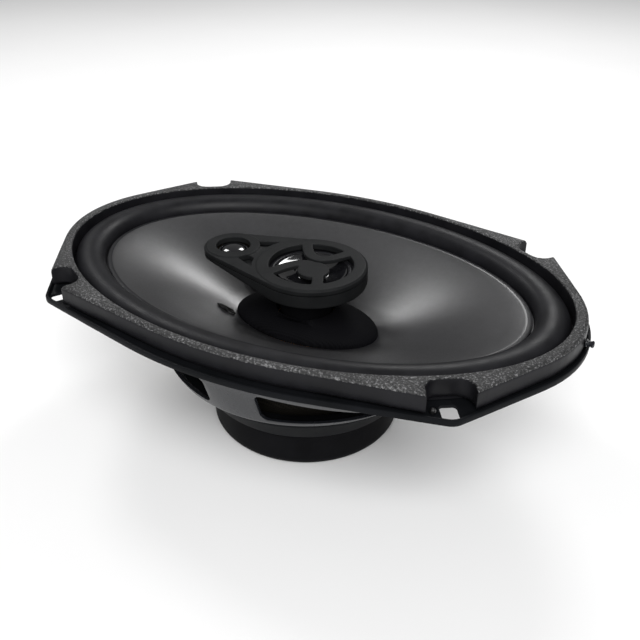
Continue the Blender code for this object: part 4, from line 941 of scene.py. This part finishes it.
def makeMidDriver():
    edge, rimRadius, coil = mid["edge"], mid["rim"], mid["coil"]
    tubeFoot, tubeTop, wall = mid["floor"] + 1.9, edge - 1.5, coil + 0.4
    dome = []
    for step in range(12):
        lift = step * 0.13
        dome.append((mid["dome"] * math.sin(lift), edge - 1.0 + mid["domeRise"] * math.cos(lift)))
    over = dome + [(radius, edge - drop) for radius, drop in mid["slope"]] + [(rimRadius, edge)]
    under = [(radius, height - mid["film"]) for radius, height in over]
    inner = [point for point in under if point[0] < 6.95]
    outer = [point for point in under if point[0] > 7.8]
    tube = [(wall, tubeTop), (wall, tubeFoot), (coil, tubeFoot), (coil, tubeTop)]
    film = spun(over + outer[::-1] + tube + inner[::-1], 96, (pod["x"], 0))
    standIn(finished("midDiaphragm", film, [plain["glossFilm"]], 60), "mid_diaphragm", "mid_diaphragm")

    low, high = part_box("mid_surround")
    radius, top = (high.x - low.x) / 2 / mm, low.z / mm + mid["wall"]
    over = [(radius, top), (mid["rollFoot"], top)]
    for step in range(13):
        lift = turn / 2 * step / 12
        over.append((mid["rollMiddle"] + math.cos(lift), top + mid["rollRise"] * math.sin(lift)))
    under = [(radius, height - mid["wall"]) for radius, height in over]
    item = finished("midSurround", spun(over + under[::-1], 96, (pod["x"], 0)), [plain["butylRubber"]], 50)

    def share(point):
        reach = math.hypot(point.x - pod["x"] * mm, point.y) / mm
        return ease((mid["rollMiddle"] + 1 - reach) / 2)
    bendBetween(item, "mid_surround", "mid_diaphragm", share)


def makeTweeter():
    low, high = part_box("tweeter_diaphragm")
    radius, base, top = (high.x - low.x) / 2 / mm, low.z / mm, high.z / mm
    foot = base + mid["film"]
    over = []
    for step in range(13):
        lift = step * 0.12
        over.append(((radius - 1.3) * math.sin(lift), foot + (top - foot) * math.cos(lift)))
    over += [(radius - 1.0, base + 0.55), (radius - 0.7, base + 0.75), (radius - 0.35, base + 0.6)]
    over.append((radius, foot))
    under = [(max(reach - 0.02, 0), height - mid["film"]) for reach, height in over]
    dome = spun(over + under[::-1], 96, (pod["tail"], 0))
    standIn(finished("tweeterDome", dome, [plain["glossFilm"]], 60), "tweeter_diaphragm", "tweeter_diaphragm")


# Magnet cover

boot = {"radius": 41.3, "height": 16.5, "fillet": 4.5, "lip": 1.4, "wall": 2.4, "floor": 1.2}


def makeMagnetCover():
    radius, height, fillet, lip = (boot[name] for name in ("radius", "height", "fillet", "lip"))
    floor = boot["floor"]
    inner = radius - boot["wall"]
    profile = [(0, floor), (inner - 2.4, floor), (inner - 0.7, floor + 0.7), (inner, floor + 2.4),
               (inner, height - 0.3), (inner + 0.3, height), (radius - lip, height)]
    profile += arc((radius - lip, height - lip), lip, 90, 0, 6)[1:]
    profile += arc((radius - fillet, fillet), fillet, 0, -90, 12) + [(0, 0)]
    return standIn(finished("magnetCover", spun(profile, 144), [plain["bootRubber"]], 40), "magnet_cover")


# Terminals, capacitors, leads and glue on the arm

arm = {"lowRadius": 57.6, "lowZ": 36.5, "highX": 84.7, "highZ": 53.0, "sheet": 1.2, "gap": 0.4}
board = {"width": 30.0, "length": 20.0, "thick": 1.6, "corner": 2.0, "edge": 0.25, "slot": (3.2, 1.4)}
blades = {"wide": (1, 6.3), "narrow": (-1, 4.8)}
blade = {"length": 16.0, "thick": 0.8, "shift": -6.0, "hole": 0.8, "tip": 1.3}
can = {"radius": 4.0, "length": 14.0, "space": 2.0, "groove": 0.35, "crimp": 1.9}


def armPlace():
    # X across the arm, Y up its slope, Z straight out of its outer face, in metres
    low = Vector((-arm["lowRadius"] - arm["sheet"], 0, arm["lowZ"])) * mm
    high = Vector((-arm["highX"] - arm["sheet"], 0, arm["highZ"])) * mm
    up = (high - low).normalized()
    across = Vector((0, -1, 0))
    matrix = Matrix((across, up, across.cross(up))).transposed().to_4x4()
    matrix.translation = (low + high) / 2
    return matrix


def softBox(size, centre, corner, edge):
    # a plate in millimetres with round corners and broken edges
    bm = box(Vector(size) * mm, Vector(centre) * mm)
    bevelAlong(bm, (0, 0, 1), corner * mm)
    edges = [e for e in bm.edges if len(e.link_faces) == 2 and e.calc_face_angle() > 1.2]
    return bevel(bm, edges, edge * mm, 2)


def makeTerminals():
    place = armPlace()
    low = arm["gap"]
    top = low + board["thick"]
    item = finished("terminalBoard", softBox((board["width"], board["length"], board["thick"]),
                                             (0, 0, (low + top) / 2), board["corner"], board["edge"]),
                    [plain["boardLaminate"]], 30)
    cutters = []
    for side in (1, -1):
        for height in (-6.5, 7.0):
            slot = softBox((*board["slot"], 6), (side * board["width"] / 4, height, low), 0.6, 0.1)
            cutters.append(finished("slot", slot, [], 0))
    combine(item, cutters)
    item.data.transform(place)
    standIn(item, "terminal_board")
    for name, (side, width) in blades.items():
        x = side * board["width"] / 4
        level = top + 0.3
        size = (width, blade["length"], blade["thick"])
        middle = (x, blade["shift"], level + blade["thick"] / 2)
        metal = softBox(size, middle, blade["tip"], 0.18)
        item = finished(f"terminalBlade{name.title()}", metal, [plain["brassPlate"]], 30)
        hole = disc(blade["hole"], level - 1, level + 2, (x, blade["shift"] - blade["length"] / 2 + 3.4), 40)
        combine(item, [finished("hole", hole, [], 0)])
        item.data.transform(place)
        standIn(item, f"terminal_{name}")
        head = level + blade["thick"] + 0.3
        profile = [(0, head + 0.75), (0.55, head + 0.75), (0.7, head + 1.0), (1.1, head + 0.95),
                   (1.4, head + 0.7), (1.5, head + 0.4), (1.5, head), (0, head)]
        rivet = moved(spun(profile, 48, (x, 0)), place)
        item = finished(f"terminalRivet{name.title()}", rivet, [plain["zincPlate"]], 40)
        standIn(item, f"terminal_rivet_{name}")


def makeCapacitors():
    # sleeved cans with a crimped groove, a bare top and a rubber plug
    place = armPlace()
    radius, length, groove, crimp = can["radius"], can["length"], can["groove"], can["crimp"]
    for number, side in enumerate((1, -1), 1):
        profile = [(0, length - 0.25), (2.9, length - 0.25), (3.0, length), (radius - 0.35, length),
                   (radius, length - 0.4), (radius, crimp + 0.7), (radius - groove, crimp + 0.35),
                   (radius - groove, crimp), (radius, crimp - 0.35), (radius, 0.3),
                   (radius - 0.3, 0), (2.9, 0), (2.8, 0.35), (0, 0.35)]
        start = Vector((side * can["space"] / 2, board["length"] / 2 + radius, arm["gap"] + radius)) * mm
        matrix = place @ Matrix.Translation(start) @ Matrix.Rotation(side * turn / 4, 4, "Y")
        bm = moved(spun(profile, 72), matrix)
        item = finished(f"crossoverCan{number}", bm, [plain["capacitorSleeve"], plain["zincPlate"]], 30)
        along = (place.to_3x3() @ Vector((side, 0, 0))).normalized()
        middle = place @ start
        for face in item.data.polygons:
            reach = (face.center - middle).dot(along) / mm
            off = (face.center - middle - along * reach * mm).length / mm
            face.material_index = 1 if reach > length - 0.3 and off < 3.0 else 0
        standIn(item, f"crossover_capacitor_{number}")


lead = {"radius": 0.66, "lobes": 6, "lobeDepth": 0.16, "twists": 14, "sag": 3.0, "steps": 140,
        "arm": (-62.3, 6.0, 43.95), "cone": (-33.0, 12.0, 44.75)}


def rope(path, radius, lobes, depth, twists):
    # a lobed ring carried along the path and turned as it goes, like twisted strands
    bm = bmesh.new()
    count, last = lobes * 6, len(path) - 1
    ring = bmesh.ops.create_circle(bm, segments=count, radius=1)["verts"]
    edges = list(bm.edges)
    for step in range(last + 1):
        if step:
            made = bmesh.ops.extrude_edge_only(bm, edges=edges)["geom"]
            fresh = {part for part in made if isinstance(part, bmesh.types.BMVert)}
            ring = [next(e.other_vert(v) for e in v.link_edges if e.other_vert(v) in fresh) for v in ring]
            edges = [part for part in made
                     if isinstance(part, bmesh.types.BMEdge) and set(part.verts) <= fresh]
        along = (path[min(step + 1, last)] - path[max(step - 1, 0)]).normalized()
        side = along.cross(Vector((0, 0, 1))).normalized()
        rise = side.cross(along)
        for number, vert in enumerate(ring):
            angle = turn * (number / count + twists * step / last)
            reach = radius - depth * math.sin(lobes * turn / 2 * number / count) ** 2
            vert.co = path[step] + (side * math.cos(angle) + rise * math.sin(angle)) * reach
    bmesh.ops.holes_fill(bm, edges=bm.edges, sides=count)
    bmesh.ops.recalc_face_normals(bm, faces=bm.faces)
    return bm


def makeLeads():
    for number, side in enumerate((-1, 1), 1):
        mirror = Vector((1, side, 1))
        first, last = Vector(lead["arm"]) * mirror * mm, Vector(lead["cone"]) * mirror * mm
        path = []
        for step in range(lead["steps"] + 1):
            share = step / lead["steps"]
            point = first.lerp(last, share)
            point.z -= lead["sag"] * mm * math.sin(turn / 2 * share)
            path.append(point)
        bm = rope(path, lead["radius"] * mm, lead["lobes"], lead["lobeDepth"] * mm, lead["twists"])
        item = finished(f"tinselLead{number}", bm, [braid], 60)
        span = lead["cone"][0] - lead["arm"][0]
        bendBetween(item, f"tinsel_lead_{number}", "cone_assembly",
                    lambda point: ease((point.x / mm - lead["arm"][0]) / span))


eyelet = {"radius": 1.4, "height": 1.2, "across": 6.0, "down": 8.4, "clear": 0.6}


def makeEyelets():
    # a flat collar with a drop of solder on the inner side
    place = armPlace()
    radius, height = eyelet["radius"], eyelet["height"]
    depth = -arm["sheet"] * abs(place.col[2].x) - eyelet["clear"] - height
    profile = [(0, height), (radius, height), (radius, height - 0.35), (radius - 0.25, height - 0.5),
               (radius - 0.45, height - 0.9), (radius - 0.85, 0.06), (0, 0)]
    for number, side in enumerate((1, -1), 1):
        spot = Matrix.Translation(Vector((side * eyelet["across"], -eyelet["down"], depth)) * mm)
        bm = moved(spun(profile, 48), place @ spot)
        standIn(finished(f"leadEyelet{number}", bm, [plain["zincPlate"]], 40), f"lead_eyelet_{number}")


glue = {"length": 9.6, "width": 3.4, "height": 1.3, "tail": 0.3, "wave": 0.24, "tilt": 20.2, "lift": 0.25}


def makeGlue():
    # a smear of cement that thins away from the skirt
    for number in (1, 2):
        low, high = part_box(f"lead_glue_{number}")
        middle = (low + high) / 2
        bm = bmesh.new()
        bmesh.ops.create_uvsphere(bm, u_segments=56, v_segments=28, radius=1)
        for vert in bm.verts:
            x, y, z = vert.co
            narrow = 1 - glue["tail"] * (1 - x) / 2
            ripple = 1 + glue["wave"] * math.sin(5 * x + 2 * number) * math.cos(3 * y)
            vert.co = Vector((x * glue["length"] / 2, y * narrow * ripple * glue["width"] / 2,
                              z * narrow * ripple * glue["height"])) * mm
        bottom = Vector((middle.x, middle.y, middle.z + glue["lift"] * mm))
        matrix = Matrix.Translation(bottom) @ Matrix.Rotation(math.radians(glue["tilt"]), 4, "Y")
        bmesh.ops.transform(bm, matrix=matrix, verts=bm.verts)
        item = finished(f"leadGlue{number}", bm, [plain["glueBlack"]], 60)
        standIn(item, f"lead_glue_{number}", "cone_assembly")


# CAD pieces that keep their shape

keptFinishes = {
    "zincPlate": ("back_plate_and_pole", "top_plate", "post_bolt", "mid_yoke", "mid_magnet", "mid_pole_plate",
                  "basket_rivet_1", "basket_rivet_2", "basket_rivet_3", "basket_rivet_4"),
    "ferriteGrain": ("ferrite_magnet",),
    "kaptonFilm": ("voice_coil_former",),
    "basketPaint": ("mid_frame",),
    "brassPlate": ("tweeter_element",),
}


def dressKept(names, material):
    for name in names:
        item = nodes[name]
        item.data.materials.clear()
        item.data.materials.append(material)


placeCamera()
placeLights()
placeFloor(plain["floorPaper"])
print("basket and gasket")
makeBasket()
makeGasket()
makePins()
print("cone, surround and spider")
makeCone()
makeDustSkirt()
makeSurround()
makeSpider()
print("post and pod")
makePost()
makePodHousing()
makePodCover()
makeMidDriver()
makeTweeter()
print("terminals and leads")
makeTerminals()
makeCapacitors()
makeLeads()
makeEyelets()
makeGlue()
print("magnet cover and kept pieces")
makeMagnetCover()
for look, names in keptFinishes.items():
    dressKept(names, plain[look])
dressKept(["voice_coil_winding"], coilWire)
